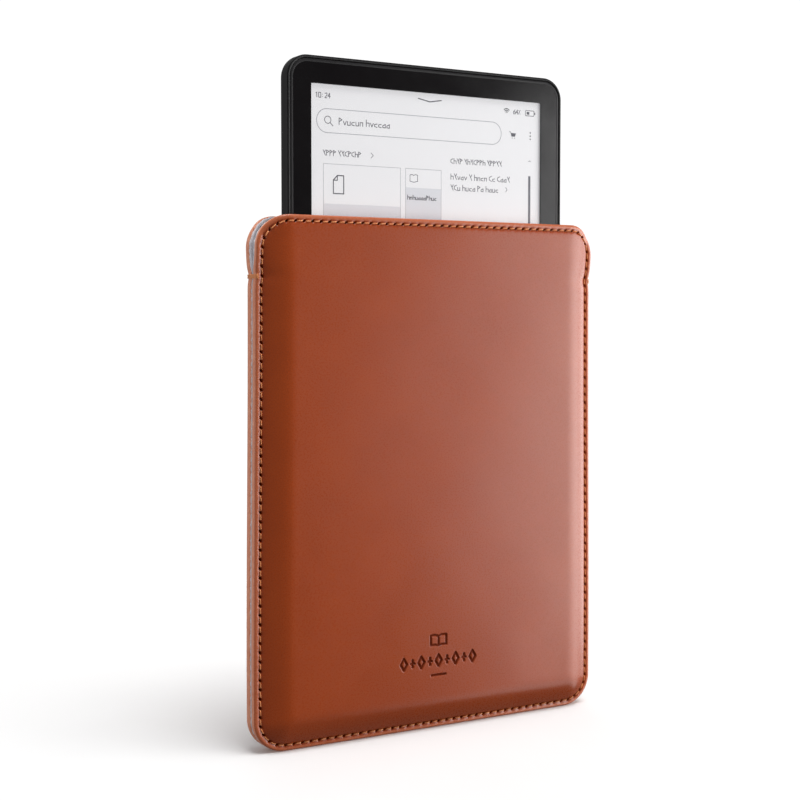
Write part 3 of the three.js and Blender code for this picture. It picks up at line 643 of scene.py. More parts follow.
def stitch_line(s):
    """Points at distances s along the row of stitches, and the outward normals there, in X and Z."""
    s = np.asarray(s, float)
    point = np.zeros((len(s), 2))
    normal = np.zeros((len(s), 2))
    centre = np.array([0, HEIGHT / 2])
    corner = np.array([SLEEVE_HALF_WIDTH, HEIGHT / 2]) - SLEEVE_CORNER
    radius = SLEEVE_CORNER - STITCH_INSET
    start = 0.0
    for side in range(4):
        length = 2 * corner[side % 2]
        reach = corner[1 - side % 2] + radius
        turn = (side - 1) * math.pi / 2
        out = np.array([math.cos(turn), math.sin(turn)])
        along = np.array([-out[1], out[0]])
        on = (s >= start) & (s < start + length)
        point[on] = centre + out * reach + np.outer(s[on] - start - length / 2, along)
        normal[on] = out
        start += length
        on = (s >= start) & (s < start + radius * math.pi / 2)
        angle = turn + (s[on] - start) / radius
        normal[on] = np.stack([np.cos(angle), np.sin(angle)], axis=1)
        point[on] = centre + out * (reach - radius) + along * length / 2 + radius * normal[on]
        start += radius * math.pi / 2
    return point, normal


STITCH_LINE_LENGTH = (
    4 * (SLEEVE_HALF_WIDTH + HEIGHT / 2 - 2 * SLEEVE_CORNER)
    + 2 * math.pi * (SLEEVE_CORNER - STITCH_INSET)
)
PITCH = STITCH_LINE_LENGTH / STITCHES
COLUMNS_IN_A_STITCH = np.array(
    [0, 0.045, 0.09, 0.135, 0.185, 0.26, 0.38, 0.5, 0.62, 0.74, 0.815, 0.865, 0.91, 0.955]
)
FINE_COLUMNS = np.add.outer(np.arange(STITCHES), COLUMNS_IN_A_STITCH).ravel() * PITCH
COARSE_COLUMNS = FINE_COLUMNS[::7]


def flat_ring(columns, inset):
    """A ring in X and Z at an inset from the panel's edge."""
    point, normal = stitch_line(columns)
    return point + normal * (STITCH_INSET - inset)


def lifted(flat, offset, phase=0.0):
    """Points of the front panel at an offset outward from the pocket."""
    x, z = flat[:, 0], flat[:, 1]
    y = -(pocket_half_gap(x, z) + offset + slackness(x, z, phase))
    return np.stack([x * half_width(z) / SLEEVE_HALF_WIDTH, y, z], axis=1)


def stitch_sink(columns, inset):
    """How far the leather is drawn down at the stitches, and how far inside a hole each point is."""
    across = inset - STITCH_INSET
    channel = CHANNEL_DEPTH * math.exp(-((across / CHANNEL_HALF_WIDTH) ** 2))
    along = (columns + PITCH / 2) % PITCH - PITCH / 2
    u = along * math.cos(HOLE_SLANT) + across * math.sin(HOLE_SLANT)
    v = -along * math.sin(HOLE_SLANT) + across * math.cos(HOLE_SLANT)
    nearness = np.hypot(u / HOLE_HALF_LENGTH, v / HOLE_HALF_WIDTH)
    hole = 1 - smooth((nearness - HOLE_FLOOR) / HOLE_WALL)
    pucker = PUCKER_DEPTH * np.exp(-((nearness / PUCKER_REACH) ** 2))
    return channel + HOLE_DEPTH * hole + pucker, hole


# ---- the emblem


def emblem_strokes():
    """The emblem's strokes as (start, end, half width): an open book, a row of ornaments, and a bar."""
    strokes = []

    def line(x, z, points, half):
        placed = [(x + u, z + v) for u, v in points]
        strokes.extend((a, b, half) for a, b in zip(placed, placed[1:]))

    page = [(0, ICON_FOOT), (1.5, -1.6), (3.5, -1.7), (3.5, 2.2), (1.5, 2.3), (0, ICON_TOP)]
    for side in (-1, 1):
        line(EMBLEM_X, ICON_Z, [(side * u, v) for u, v in page], BOOK_STROKE)
    line(EMBLEM_X, ICON_Z, [page[0], page[-1]], BOOK_STROKE)
    half_x, half_z = ORNAMENT_SIZE[0] / 2, ORNAMENT_SIZE[1] / 2
    lozenge = [(0, half_z), (half_x, 0), (0, -half_z), (-half_x, 0), (0, half_z)]
    for i in range(-4, 5):
        x = EMBLEM_X + i * ORNAMENT_PITCH
        if i % 2 == 0:
            line(x, ORNAMENT_Z, lozenge, ORNAMENT_STROKE)
        else:
            line(x, ORNAMENT_Z, [(0, 0.9 - half_z), (0, half_z - 0.9)], ORNAMENT_STROKE)
            line(x, ORNAMENT_Z, [(-0.75, 0), (0.75, 0)], BAR_STROKE)
    line(EMBLEM_X, BAR_Z, [(-BAR_LENGTH / 2, 0), (BAR_LENGTH / 2, 0)], BAR_STROKE)
    return strokes


def emblem_boxes():
    """The boxes round the emblem's three parts, where the leather has its finest points."""
    half_row = 4 * ORNAMENT_PITCH + ORNAMENT_SIZE[0]
    parts = ((ICON_Z, 4.6, 3.2, 3.3), (ORNAMENT_Z, half_row, 3.1, 3.1), (BAR_Z, 4, 1, 1))
    return [(EMBLEM_X - half, EMBLEM_X + half, z - low, z + high) for z, half, low, high in parts]


def emblem_press(flat):
    """How deeply the emblem is pressed at each point, from 0 to 1."""
    nearest = np.full(len(flat), 9.0)
    for a, b, half in emblem_strokes():
        a, b = np.array(a), np.array(b)
        t = np.clip(((flat - a) @ (b - a)) / ((b - a) @ (b - a)), 0, 1)
        gap = np.linalg.norm(flat - a - np.outer(t, b - a), axis=1) - half
        nearest = np.minimum(nearest, gap)
    return 1 - smooth((nearest - PRESS_START) / PRESS_WALL)


def grid(x0, x1, z0, z1, step):
    xs = np.arange(x0, x1, step)
    zs = np.arange(z0, z1, step)
    return np.stack(np.meshgrid(xs, zs), axis=-1).reshape(-1, 2)


def field_points(step, least_inset, boxes=()):
    """A grid of points over the inside of the panel, leaving out some boxes."""
    flat = grid(-SLEEVE_HALF_WIDTH, SLEEVE_HALF_WIDTH, 0, HEIGHT, step) + GRID_SHIFT * step
    x, z = flat[:, 0], flat[:, 1]
    over_z = np.maximum(SLEEVE_CORNER - z, SLEEVE_CORNER - (HEIGHT - z))
    keep = inside_distance(x, over_z) > least_inset
    for x0, x1, z0, z1 in boxes:
        keep &= ~((x > x0) & (x < x1) & (z > z0) & (z < z1))
    return flat[keep]


# ---- leather, felt and thread

BAND_INSETS = [6, 5, 4.1, 3.5, 3.15, 2.9, 2.76, 2.64, 2.52, 2.4, 2.28, 2.16, 2.04, 1.9, 1.65, 1.35, 1.05]
ROUNDED_EDGE = [(0.78, 0.02), (0.52, 0.09), (0.3, 0.22), (0.13, 0.4), (0.04, 0.6)]
CUT_EDGE = [(0.07, 0.8), (0.02, 1.1), (0.0, 1.5), (0.03, 1.9), (0.15, 2.2)]
INNER_INSETS = [0.9, 3, 5]
FIELD_INSET = 6.8
# The margin outside the stitches and the rounded edge are painted pale, a sheen standing in for the light
# they catch.
PAINTED_SHEEN_MARGIN = 1.65
PAINTED_SHEEN_FADE = 0.5
PAINTED_SHEEN_TONE = 0.5
EMBLEM_STEP, FIELD_STEP, INNER_STEP, FELT_STEP = 0.17, 1.6, 4.0, 3.0
GRID_SHIFT = 0.31  # of a step, which keeps the grids off the panels' own lines


def leather_panel(name, is_front):
    """One leather panel, with its stitch holes, its rounded skin and its cut edge."""
    phase = 0.0 if is_front else REAR_PHASE
    form = Form()
    fine = []
    for inset in BAND_INSETS:
        sink, hole = stitch_sink(FINE_COLUMNS, inset)
        flat = flat_ring(FINE_COLUMNS, inset)
        # The pale margin here is painted sheen.
        painted_sheen = PAINTED_SHEEN_TONE * smooth((PAINTED_SHEEN_MARGIN - inset) / PAINTED_SHEEN_FADE) * (1 - hole)
        # A hole's tone of 1 paints the leather inside it dark, as painted shade.
        fine.append(form.add(lifted(flat, OUTER - sink, phase), hole - painted_sheen))
    for inset, depth in ROUNDED_EDGE + CUT_EDGE:
        flat = flat_ring(FINE_COLUMNS, inset)
        swollen = depth * (1 + squeeze(flat) / LEATHER)
        # The edge rings carry the full painted sheen, which shows on the rounded skin.
        fine.append(form.add(lifted(flat, OUTER - swollen, phase), -PAINTED_SHEEN_TONE))
    skin_rings = len(BAND_INSETS) + len(ROUNDED_EDGE)
    form.stack(fine[:skin_rings][::-1])
    form.stack(fine[skin_rings - 1 :][::-1], 1)

    # The field inside the stitches, finer where the emblem is pressed in.
    boxes = emblem_boxes() if is_front else []
    points = [grid(*box, EMBLEM_STEP) for box in boxes]
    inner = np.concatenate([*points, field_points(FIELD_STEP, FIELD_INSET + 0.8, boxes)])
    rim = flat_ring(COARSE_COLUMNS, FIELD_INSET)
    both = np.concatenate([rim, inner])
    press = emblem_press(both) if is_front else np.zeros(len(both))
    field = form.add(lifted(both, OUTER - EMBLEM_DEPTH * press, phase), PRESSED_TONE * press)
    form.narrow(fine[0], field[: len(rim)])
    form.fill(field, rim, inner)

    # The inside of the leather, which the felt covers.
    coarse = []
    for inset in INNER_INSETS:
        flat = flat_ring(COARSE_COLUMNS, inset)
        coarse.append(form.add(lifted(flat, LINED - squeeze(flat), phase)))
    form.narrow(fine[-1], coarse[0], mark=1, order=-1)
    inner = field_points(INNER_STEP, FIELD_INSET + 1)
    back = form.add(lifted(np.concatenate([rim, inner]), LINED, phase))
    form.stack([*coarse, back[: len(rim)]], 1)
    form.fill(back, rim, inner, mark=1, order=-1)
    return form.build(name, [LEATHER_SKIN, LEATHER_EDGE], "tone", is_front=is_front)


def felt_panel(name, is_front):
    """One felt lining, with a soft, slightly ragged edge."""
    phase = 0.0 if is_front else REAR_PHASE
    columns = FINE_COLUMNS[::2]
    ragged = sum(
        height * np.sin(columns * pace + start)
        for height, pace, start in ((0.09, 2.1, 0), (0.07, 5.3, 1), (0.05, 9.7, 0))
    )
    form = Form()

    def ring(inset, height, rag=1.0, tone=0.0, met=0.0):
        """A ring at a height through the felt's thickness, from 0 to 1; met closes the sewn seam."""
        point, normal = stitch_line(columns)
        flat = point + normal * (STITCH_INSET - inset - rag * ragged)[:, None]
        thickness = FELT - 2 * FELT_CLEARANCE - squeeze(flat)
        points = lifted(flat, FELT_CLEARANCE + thickness * height, phase)
        sewn = 1 - smooth((flat[:, 1] - TACK_Z + MET_FADE_UP) / MET_FADE_UP)
        points[:, 1] *= 1 - met * sewn
        return form.add(points, tone)

    # The rings' tone paints shade on the felt's side facing into the pocket, darker further in.
    rings = [
        ring(FELT_FIELD_INSET, 1, rag=0),
        ring(3, 1, rag=0),
        ring(FELT_TRIM + 0.3, 1),
        ring(FELT_TRIM + 0.02, 0.78),
        ring(FELT_TRIM - 0.05, 0.5),
        ring(FELT_TRIM + 0.05, 0.2),
        ring(FELT_TRIM + 0.35, 0.02),
        ring(FELT_TRIM + 1.2, 0, tone=0.1, met=1),
        ring(3, 0, rag=0, tone=0.8),
        ring(FELT_FIELD_INSET, 0, rag=0, tone=0.9),
    ]
    form.stack(rings[::-1])
    inner = field_points(FELT_STEP, FIELD_INSET + 0.6)
    rim = flat_ring(columns, FELT_FIELD_INSET)
    outer_face = form.add(lifted(inner, FELT - FELT_CLEARANCE, phase))
    # The felt's face towards the pocket is painted with shade.
    inner_face = form.add(lifted(inner, FELT_CLEARANCE, phase), 0.9)
    form.fill(np.concatenate([rings[0], outer_face]), rim, inner)
    form.fill(np.concatenate([rings[-1], inner_face]), rim, inner, order=-1)
    return form.build(name, [GREY_FELT], "tone", is_front=is_front)


def stitches(name, is_front):
    """The row of stitches: each is two twisted plies that dive into the holes at its ends."""
    form = Form()
    t = np.linspace(STITCH_END, 1 - STITCH_END, STITCH_STEPS)
    dive = smooth((np.abs(t - 0.5) - DIVE_START) / DIVE_LENGTH)
    arch = STITCH_ARCH * np.cos(math.pi * (t - 0.5))
    depth = CHANNEL_DEPTH - STITCH_LIFT + DIVE_DEPTH * dive - arch
    lean = np.tile((0.0, -1.0, 0.0), (STITCH_STEPS, 1))
    for i in range(STITCHES):
        s = (i + t) * PITCH
        point, normal = stitch_line(s % STITCH_LINE_LENGTH)
        flat = point + normal * STITCH_SLANT * (0.5 - t)[:, None]
        centre = lifted(flat, OUTER - depth)
        twist = 2 * math.pi * (s / PLY_TWIST_LENGTH) + i
        side = np.stack([normal[:, 0], np.zeros(STITCH_STEPS), normal[:, 1]], axis=1)
        for ply in (0, math.pi):
            around = side * np.cos(twist + ply)[:, None] + lean * np.sin(twist + ply)[:, None]
            form.tube(centre + PLY_TURN_RADIUS * around, PLY_RADIUS)
    return form.build(name, [ORANGE_THREAD], is_front=is_front)


def bar_tack(name, side):
    """The turns of thread wrapped over the edge where a side seam ends."""
    form = Form()
    face = SEAM_HALF_GAP + OUTER
    edge = half_width(np.array([TACK_Z]))[0]
    corner_x = edge + TACK_LIFT - TACK_CORNER
    corner_y = TACK_CORNER - face - TACK_LIFT
    half = [(edge - 1.0, 1 - face), (edge - 0.95, 0.2 - face)]
    for a in np.linspace(0, math.pi / 2, 7):
        half.append((corner_x + TACK_CORNER * math.sin(a), corner_y - TACK_CORNER * math.cos(a)))
    path = half + [(x, -y) for x, y in half[::-1]]
    for i in range(TACK_TURNS):
        z = TACK_Z + (i - (TACK_TURNS - 1) / 2) * TACK_SPACING
        lean = np.linspace(-TACK_LEAN, TACK_LEAN, len(path)) * (-1) ** i
        turn = [(side * x, y, z + dz) for (x, y), dz in zip(path, lean)]
        form.tube(turn, TACK_THREAD_RADIUS, sides=8)
    if side < 0:
        form.flip()
    return form.build(name, [ORANGE_THREAD])


def make_sleeve():
    for name, is_front in (("front", True), ("rear", False)):
        panel = leather_panel(f"{name}_panel", is_front)
        place(panel, "sleeve", "leather", f"sleeve_{name}_leather")
        lining = felt_panel(f"{name}_lining", is_front)
        place(lining, "sleeve", "felt", f"sleeve_{name}_felt")
        row = stitches(f"{name}_stitches", is_front)
        place(row, "sleeve", "thread", f"sleeve_{name}_thread")
    for name, side in (("left", -1), ("right", 1)):
        tack = bar_tack(f"{name}_tack", side)
        place(tack, "sleeve", "thread", f"sleeve_{name}_bar_tack")


# ---- the reader's case


def case_ring(inset, y):
    """A ring round the reader's outline, anticlockwise seen from the front."""
    low, high = SHELL_LOW + inset, SHELL_HIGH - inset
    radius = max(READER_CORNER - inset, LEAST_CORNER)
    return [(x, y, z) for x, z in round_box(low[0], high[0], low[2], high[2], radius, 15)]


def skinned(form, profile):
    """Skins over rings given as (inset, y), from front to back on the outside."""
    rings = [form.add(case_ring(inset, y)) for inset, y in profile]
    form.stack(rings[::-1])
    return rings


def slot_stack(x, y, width, height, levels, sides=12):
    """A solid along Z with slot-shaped sections, from levels given as (inset, reach along X, Z)."""
    form = Form()
    rings = []
    for inset, longer, z in levels:
        radius = height / 2 - inset
        reach = max((width - height) / 2 + longer, SLOT_LEAST_REACH)
        outline = [
            (x + sign * reach + radius * math.cos(angle), y + radius * math.sin(angle), z)
            for sign, start in ((1, -math.pi / 2), (-1, math.pi / 2))
            for angle in np.linspace(start, start + math.pi, sides)
        ]
        rings.append(form.add(outline))
    form.close(rings)
    return form


def cut_openings(shell):
    """Cuts the charging port, the button and the light out of the bottom wall."""
    cutters = []
    for node, room in OPENING_ROOM.items():
        low, high = node_box(node)
        x, y = (low[:2] + high[:2]) / 2
        width, height = high[:2] - low[:2] + 2 * room
        if node == "power_button":
            width -= 2 * BUTTON_FLANGE
        slot = slot_stack(x, y, width, height - 0.001, [(0, 0, z) for z in OPENING_LEVELS])
        cutters.append(slot.build("cutter_" + node, [SOFT_BLACK]))
    for cutter in cutters:
        cutting = shell.modifiers.new("opening", "BOOLEAN")
        cutting.operation = "DIFFERENCE"
        cutting.solver = "EXACT"
        cutting.object = cutter
    apply_modifiers(shell)
    for cutter in cutters:
        bpy.data.objects.remove(cutter)


def power_button():
    """The button: a cap with a softened edge, the flange that keeps it in, and the nib on the switch."""
    low, high = node_box("power_button")
    x, y = (low[:2] + high[:2]) / 2
    flange_low, flange_high = READER_Z + 2.05, READER_Z + 2.55
    cap = [(0.42, 0, 0), (0.2, 0, 0.03), (0.06, 0, 0.11), (0, 0, 0.26)]
    levels = [
        *((inset, reach, low[2] + rise) for inset, reach, rise in cap),
        (0, 0, flange_low),
        (0, BUTTON_FLANGE, flange_low),
        (0, BUTTON_FLANGE, flange_high),
        (0.5, -4.6, flange_high),
        (0.5, -4.6, high[2] - 0.1),
        (0.6, -4.7, high[2]),
    ]
    width, height = high[:2] - low[:2]
    button = slot_stack(x, y, width - 2 * BUTTON_FLANGE, height, levels, sides=20)
    return button.build("button_cap", [SOFT_BLACK])


def apply_modifiers(piece):
    """Replaces the piece's mesh by what its modifiers make of it."""
    bpy.context.view_layer.update()
    evaluated = piece.evaluated_get(bpy.context.evaluated_depsgraph_get())
    mesh = bpy.data.meshes.new_from_object(evaluated)
    piece.modifiers.clear()
    piece.data = mesh


def rear_shell():
    """The soft-touch tray that makes the back and the sides."""
    form = Form()
    inside = [(4.3, 2.75), (2.1, 1.9), (1.05, 0.3), (1.05, FRONT_Y + 0.12), (1.13, FRONT_Y)]
    rim = [(0.66, 0), (0.55, 0.04), (0.49, 0.12), (0.46, 0.26), (0.44, 0.55)]
    groove_and_wall = [(0.3, 0.55), (0.28, 0.34), (0.24, 0.24), (0.17, 0.2), (0.08, 0.24), (0, 0.42)]
    front_lip = [(inset, FRONT_Y + depth) for inset, depth in rim + groove_and_wall]
    back_round = [
        (BACK_ROUND_INSET * (1 - math.cos(a)), BACK_ROUND_Y + (BACK_Y - BACK_ROUND_Y) * math.sin(a))
        for a in np.linspace(0, math.pi / 2, 14)
    ]
    rings = skinned(form, inside + front_lip + back_round)
    form.face(rings[0])
    form.face(rings[-1][::-1])
    shell = form.build("case_back", [SOFT_BLACK])
    cut_openings(shell)
    return shell


def screen_outline(grow=0.0):
    """The window's outline in X and Z, anticlockwise."""
    right = READER_X + SCREEN_HALF_WIDTH + grow
    return round_box(SCREEN_LEFT - grow, right, SCREEN_BOTTOM - grow, SCREEN_TOP + grow, 0.6, 5)


def front_lens():
    """The flush front lens: black at its border and clear over the screen."""
    form = Form()
    front, back = LENS_LOW[1], LENS_HIGH[1]
    groove = [(1.34, 0), (1.28, 0.05), (1.14, 0.05), (1.04, 0)]
    edge = [
        (LENS_SOFT_EDGE * (1 - math.sin(a)), 0.5 * LENS_SOFT_EDGE * (1 - math.cos(a)))
        for a in np.linspace(0, math.pi / 2, 6)
    ]
    profile = [(LENS_INSET + inset, front + depth) for inset, depth in groove + edge]
    rings = skinned(form, [*profile, (LENS_INSET, back)])
    window = screen_outline()
    for ring, y, order in ((rings[0], front, 1), (rings[-1], back, -1)):
        hole = form.add([(x, y, z) for x, z in window])
        rim = np.array(form.points)[ring][:, [0, 2]]
        both = np.concatenate([ring, hole])
        first, count = len(ring), len(window)
        edges = [(first + i, first + (i + 1) % count) for i in range(count)]
        for triangle in fill(rim, window, edges):
            clear = min(triangle) >= first
            form.face(both[list(triangle[::order])], 2 if clear else 1)
    lens = form.build("front_glass", [LENS_RIM, LENS_BLACK, LENS_CLEAR])
    # The flat faces are shaded as flat, whatever their edges do.
    for polygon in lens.data.polygons:
        if abs(polygon.normal.y) > 0.999:
            polygon.use_smooth = False
    return lens


# ---- what the screen shows


class Page(Form):
    """Marks on the screen, placed in millimetres from its left edge and down from its top."""

    def __init__(self, y):
        super().__init__()
        self.y = y

    def polygon(self, outline):
        """A thin flat prism; the outline may run either way round."""
        area = sum(a[0] * b[1] - b[0] * a[1] for a, b in zip(outline, outline[1:] + outline[:1]))
        points = outline[::-1] if area > 0 else outline
        placed = [(SCREEN_LEFT + x, SCREEN_TOP - down) for x, down in points]
        self.prism(placed, self.y, self.y + INK_THICKNESS)

    def box(self, x0, x1, top, bottom):
        self.polygon([(x0, top), (x1, top), (x1, bottom), (x0, bottom)])

    def line(self, points, width):
        """A line through points, with round joints."""
        for (ax, ay), (bx, by) in zip(points, points[1:]):
            angle = math.atan2(by - ay, bx - ax)
            outline = []
            for x, y, start in ((ax, ay, angle + math.pi / 2), (bx, by, angle - math.pi / 2)):
                for a in np.linspace(start, start + math.pi, 5):
                    outline.append((x + width / 2 * math.cos(a), y + width / 2 * math.sin(a)))
            self.polygon(outline)

    def arc(self, x, y, radius, start, end, width, steps=14):
        angles = np.radians(np.linspace(start, end, steps))
        self.line([(x + radius * math.cos(a), y + radius * math.sin(a)) for a in angles], width)

    def frame(self, x0, x1, top, bottom, width, radius=0.0):
        """The outline of a box with round corners."""
        points = round_box(x0, x1, top, bottom, radius, 10 if radius else 1)
        self.line([*points, points[0]], width)


# Letter-like shapes that spell nothing, on a cell 1 high: each is a list of lines.
TALL_SHAPES = [
    [[(0, 0), (0, 1)], [(0, 0.45), (0.5, 0.45), (0.5, 1)]],
    [[(0.5, 0.05), (0, 0.3), (0, 0.75), (0.5, 1)]],
    [[(0, 0), (0.5, 1)], [(0.5, 0), (0.25, 0.5)]],
    [[(0, 1), (0, 0), (0.5, 0.25), (0, 0.55)]],
]
SHORT_SHAPES = [
    [[(0, 0.45), (0, 1)], [(0, 0.5), (0.45, 0.45), (0.45, 1)]],
    [[(0.45, 0.5), (0, 0.6), (0, 0.9), (0.45, 1)]],
    [[(0, 0.7), (0.45, 0.45), (0.45, 1), (0, 0.95), (0, 0.7)]],
    [[(0, 0.45), (0.25, 1), (0.5, 0.45)]],
    [[(0, 0.45), (0, 1), (0.45, 1), (0.45, 0.45)]],
]
DIGIT_SHAPES = {
    "0": [[(0, 0), (0.5, 0), (0.5, 1), (0, 1), (0, 0)]],
    "1": [[(0.1, 0.15), (0.3, 0), (0.3, 1)]],
    "2": [[(0, 0.1), (0.5, 0), (0.5, 0.45), (0, 1), (0.5, 1)]],
    "4": [[(0.4, 1), (0.4, 0), (0, 0.65), (0.55, 0.65)]],
    "6": [[(0.45, 0), (0, 0.4), (0, 1), (0.5, 1), (0.5, 0.5), (0, 0.5)]],
    ":": [[(0.15, 0.3), (0.15, 0.34)], [(0.15, 0.8), (0.15, 0.84)]],
    "%": [[(0, 1), (0.5, 0)], [(0.05, 0.1), (0.1, 0.1)], [(0.45, 0.9), (0.5, 0.9)]],
}


ADVANCE = 0.72  # from one letter to the next, as a share of the height of a line
WORD_GAP = 0.35
TALL_SHARE = 0.25


def write_shapes(page, shapes, x, top, height, width):
    """Letters in a row; returns where the next would be."""
    for shape in shapes:
        for part in shape:
            page.line([(x + u * height, top + v * height) for u, v in part], width)
        x += ADVANCE * height
    return x


def greeked(page, rng, x, top, height, width, capitals, words):
    """Words that spell nothing, in the shapes above: words gives each one's number of letters."""
    for letters in words:
        shapes = []
        for i in range(letters):
            tall = capitals or i == 0 or rng.random() < TALL_SHARE
            source = TALL_SHAPES if tall else SHORT_SHAPES
            shapes.append(source[rng.integers(len(source))])
        x = write_shapes(page, shapes, x, top, height, width) + WORD_GAP * height


# The page's words: left end, top, height, line width, whether all tall, letters in each word.
WORDS = [
    (12.1, 12.2, 2.5, 0.32, False, (6, 6)),
    (5.3, 24.5, 2.0, 0.29, True, (4, 7)),
    (42.0, 39.8, 1.7, 0.32, False, (11,)),
    (61.8, 24.6, 2.0, 0.29, True, (4, 7, 5)),
    (61.8, 30.6, 2.2, 0.29, False, (5, 1, 4, 2, 4)),
    (61.8, 34.9, 2.2, 0.29, False, (3, 4, 2, 4)),
]
WORDS += [(5.3, 66 + 9 * i, 2.2, 0.29, False, (6, 4, 7, 3, 8, 5)) for i in range(6)]


def draw_page(dark, mid, pale):
    """A plain library page: status row, search field, two cards and a list."""
    write_shapes(mid, [DIGIT_SHAPES[c] for c in "10:24"], 2.2, 3.3, 1.8, 0.28)
    dark.line([(46.8, 2.3), (52.1, 3.3), (57.3, 2.4)], 0.42)
    for radius in (0.5, 1.15, 1.8):
        dark.arc(88.2, 5.1, radius, 225, 315, 0.34)
    write_shapes(mid, [DIGIT_SHAPES[c] for c in "64%"], 91.6, 3.5, 1.65, 0.3)
    dark.frame(97.4, 101.6, 3.4, 5.5, 0.26, 0.3)
    dark.box(98.0, 99.3, 3.9, 5.0)
    dark.box(101.8, 102.2, 4.0, 4.9)

    pale.frame(2.6, 85.6, 9.1, 18.0, 0.24, 4.4)
    mid.arc(7.3, 13.2, 1.35, 0, 360, 0.26, steps=24)
    mid.line([(8.3, 14.2), (9.5, 15.4)], 0.3)
    dark.polygon([(90.2, 12.9), (92.8, 12.9), (92.3, 14.3), (90.7, 14.3)])
    dark.line([(89.5, 12.3), (90.2, 12.5), (90.7, 14.3)], 0.2)
    dots = [(91.0, 14.9, 0.14), (92.1, 14.9, 0.14)]
    dots += [(99.8, down, 0.34) for down in (12.3, 13.6, 14.9)]
    for x, down, width in dots:
        dark.arc(x, down, 0.14, 0, 360, width, steps=8)

    pale.frame(5.4, 38.8, 29.6, 58.0, 0.16)
    pale.frame(41.1, 57.3, 29.6, 58.0, 0.16)
    sheet = [(11.3, 33.8), (14.0, 33.8), (14.0, 40.6), (9.6, 40.6), (9.6, 35.6), (11.3, 33.8)]
    dark.line(sheet, 0.42)
    dark.line([(11.3, 33.8), (11.3, 35.6), (9.6, 35.6)], 0.36)
    mid.line([(43.1, 32.0), (44.2, 31.8), (44.8, 32.2), (45.4, 31.8), (46.5, 32.0)], 0.24)
    mid.line([(43.1, 32.0), (43.1, 34.4), (44.8, 34.8), (46.5, 34.4), (46.5, 32.0)], 0.24)
    mid.line([(25.8, 24.5), (26.8, 25.5), (25.8, 26.5)], 0.22)
    mid.line([(87.8, 34.9), (88.6, 35.8), (87.8, 36.7)], 0.22)
    mid.line([(98.9, 24.0), (99.5, 23.6), (100.1, 24.0)], 0.2)
    mid.box(98.9, 100.0, 29.8, 70.0)
    for i in range(6):
        pale.line([(5.3, 71.5 + 9 * i), (95, 71.5 + 9 * i)], 0.16)

    rng = np.random.default_rng(7)
    for row in WORDS:
        greeked(mid, rng, *row)


def make_screen():
    """The lit page behind the lens, with its marks a hair in front of it."""
    page = Form()
    page.prism(screen_outline(grow=0.7), MASK_BACK + 0.015, MASK_BACK + 0.045)
    place(page.build("lit_page", [PAPER], is_smooth=False), "reader", "epaper")

    # Each kind of mark: how far it is from the back of the mask, and its ink.
    kinds = {
        "page_bands": (0.007, grey_ink("pale_band", linear(212, 213, 218))),
        "page_outlines": (-0.001, grey_ink("pale_ink", linear(150, 150, 158))),
        "page_words": (-0.005, grey_ink("mid_ink", linear(84, 82, 92))),
        "page_icons": (-0.009, grey_ink("dark_ink", linear(60, 58, 70))),
    }
    marks = {name: Page(MASK_BACK + depth) for name, (depth, _) in kinds.items()}
    marks["page_bands"].box(5.5, 38.7, 44.5, 57.9)
    marks["page_bands"].box(41.2, 57.2, 36.9, 57.9)
    draw_page(marks["page_icons"], marks["page_words"], marks["page_outlines"])
    for name, (_, ink) in kinds.items():
        place(marks[name].build(name, [ink], is_smooth=False), "reader", "black_ink")


def make_reader():
    place(rear_shell(), "reader", "shell_plastic", "rear_shell")
    place(front_lens(), "reader", "lens", "front_lens")
    place(power_button(), "power_button", "shell_plastic", "power_button")
    make_screen()


# ---- stage, lights and camera

FLOOR_RADIUS = 0.34
FLOOR_WHITES = (0.82, 0.84)

# The room's strength: as it is seen, and as it lights things from the horizon and from overhead.
WORLD_SEEN = 1.05
WORLD_LIGHT = (0.28, 0.58, 0.0, 1.0)

# The soft panels: place and aim in metres, size, and power in watts.
MIDDLE = (0, 0, 0.1)
PANELS = {
    "right_softbox": ((1.018, -0.636, 0.1), MIDDLE, (0.97, 0.7), 13.6),
    "right_edge_panel": ((1.191, 0.146, 0.1), MIDDLE, (0.6, 0.7), 4.6),
    "low_panel": ((1.018, -0.636, -0.55), (0, 0, -0.55), (0.97, 0.6), 5.5),
    "left_panel": ((-1.18, 0.2, 0.15), MIDDLE, (0.4, 0.7), 3.4),
    "back_panel": ((0.55, 1.25, 0.4), MIDDLE, (0.8, 0.8), 2.4),
}
CEILING_PLACE = (0.089, -0.243, 0.966)
CEILING_STRENGTH = 2.35
CEILING_SPREAD = math.radians(35)

CAMERA_PLACE = (-0.2987, -0.4949, 0.1629)
CAMERA_TURN = (math.radians(90 - 3.18), 0, math.radians(-30))
CAMERA_SENSOR, CAMERA_LENS = 36, 65.6


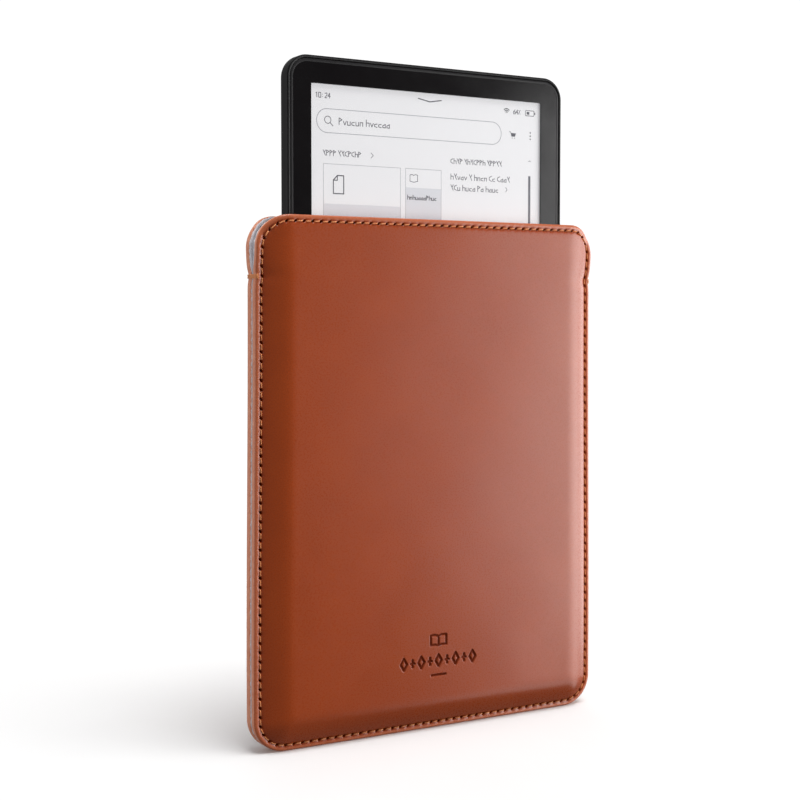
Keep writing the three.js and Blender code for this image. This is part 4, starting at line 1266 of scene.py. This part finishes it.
def make_floor():
    """A white table top, large enough to catch the shadow."""
    form = Form()
    turn = np.linspace(0, 2 * math.pi, 96, endpoint=False)
    reach = FLOOR_RADIUS / MM
    form.face(form.add([(reach * math.cos(a), reach * math.sin(a), 0) for a in turn]))
    shader = Shader("white_floor", Roughness=0.9, Specular_IOR_Level=0.1)
    dust = shader.noise(0.01, detail=3)
    dull, clean = ((white, white, white) for white in FLOOR_WHITES)
    shader.give(Base_Color=shader.ramp(dust, (0.3, dull), (0.7, clean)))
    floor = form.build("floor", [shader.material])
    floor.visible_diffuse = False
    floor.visible_glossy = False


def make_world():
    """A white room to look at, whose light on the object comes mostly from above."""
    world = bpy.data.worlds.new("white_room")
    bpy.context.scene.world = world
    world.use_nodes = True
    nodes = Nodes(world.node_tree)
    direction = nodes.node("TexCoord", {})["Generated"]
    height = nodes.node("SeparateXYZ", {0: direction})["Z"]
    strength = nodes.between(height, *WORLD_LIGHT)
    lit = nodes.node("Background", {"Strength": strength})[0]
    seen = nodes.tree.nodes["Background"]
    nodes.feed(seen.inputs["Color"], (1, 1, 1))
    nodes.feed(seen.inputs["Strength"], WORLD_SEEN)
    camera_ray = nodes.node("LightPath", {})["Is Camera Ray"]
    room = nodes.node("MixShader", {0: camera_ray, 1: lit, 2: seen.outputs[0]})[0]
    nodes.feed(nodes.tree.nodes["World Output"].inputs["Surface"], room)


def add_light(kind, name, place_at, aim, power, **settings):
    """A light at a place, facing the point it is aimed at."""
    data = bpy.data.lights.new(name, kind)
    data.energy = power
    for key, value in settings.items():
        setattr(data, key, value)
    light = bpy.data.objects.new(name, data)
    light.location = place_at
    light.rotation_euler = (Vector(aim) - Vector(place_at)).to_track_quat("-Z", "Y").to_euler()
    bpy.context.scene.collection.objects.link(light)


def make_lights():
    for name, (place_at, aim, (width, height), power) in PANELS.items():
        add_light("AREA", name, place_at, aim, power, shape="RECTANGLE", size=width, size_y=height)
    spread = CEILING_SPREAD
    add_light("SUN", "ceiling_panel", CEILING_PLACE, (0, 0, 0), CEILING_STRENGTH, angle=spread)


def make_camera():
    data = bpy.data.cameras.new("camera")
    data.sensor_width = CAMERA_SENSOR
    data.lens = CAMERA_LENS
    camera = bpy.data.objects.new("camera", data)
    camera.location = CAMERA_PLACE
    camera.rotation_euler = CAMERA_TURN
    bpy.context.scene.collection.objects.link(camera)
    bpy.context.scene.camera = camera


make_camera()
make_world()
make_lights()
make_floor()
bpy.context.scene.view_settings.view_transform = "Standard"
finish_cad_nodes()
make_sleeve()
make_reader()
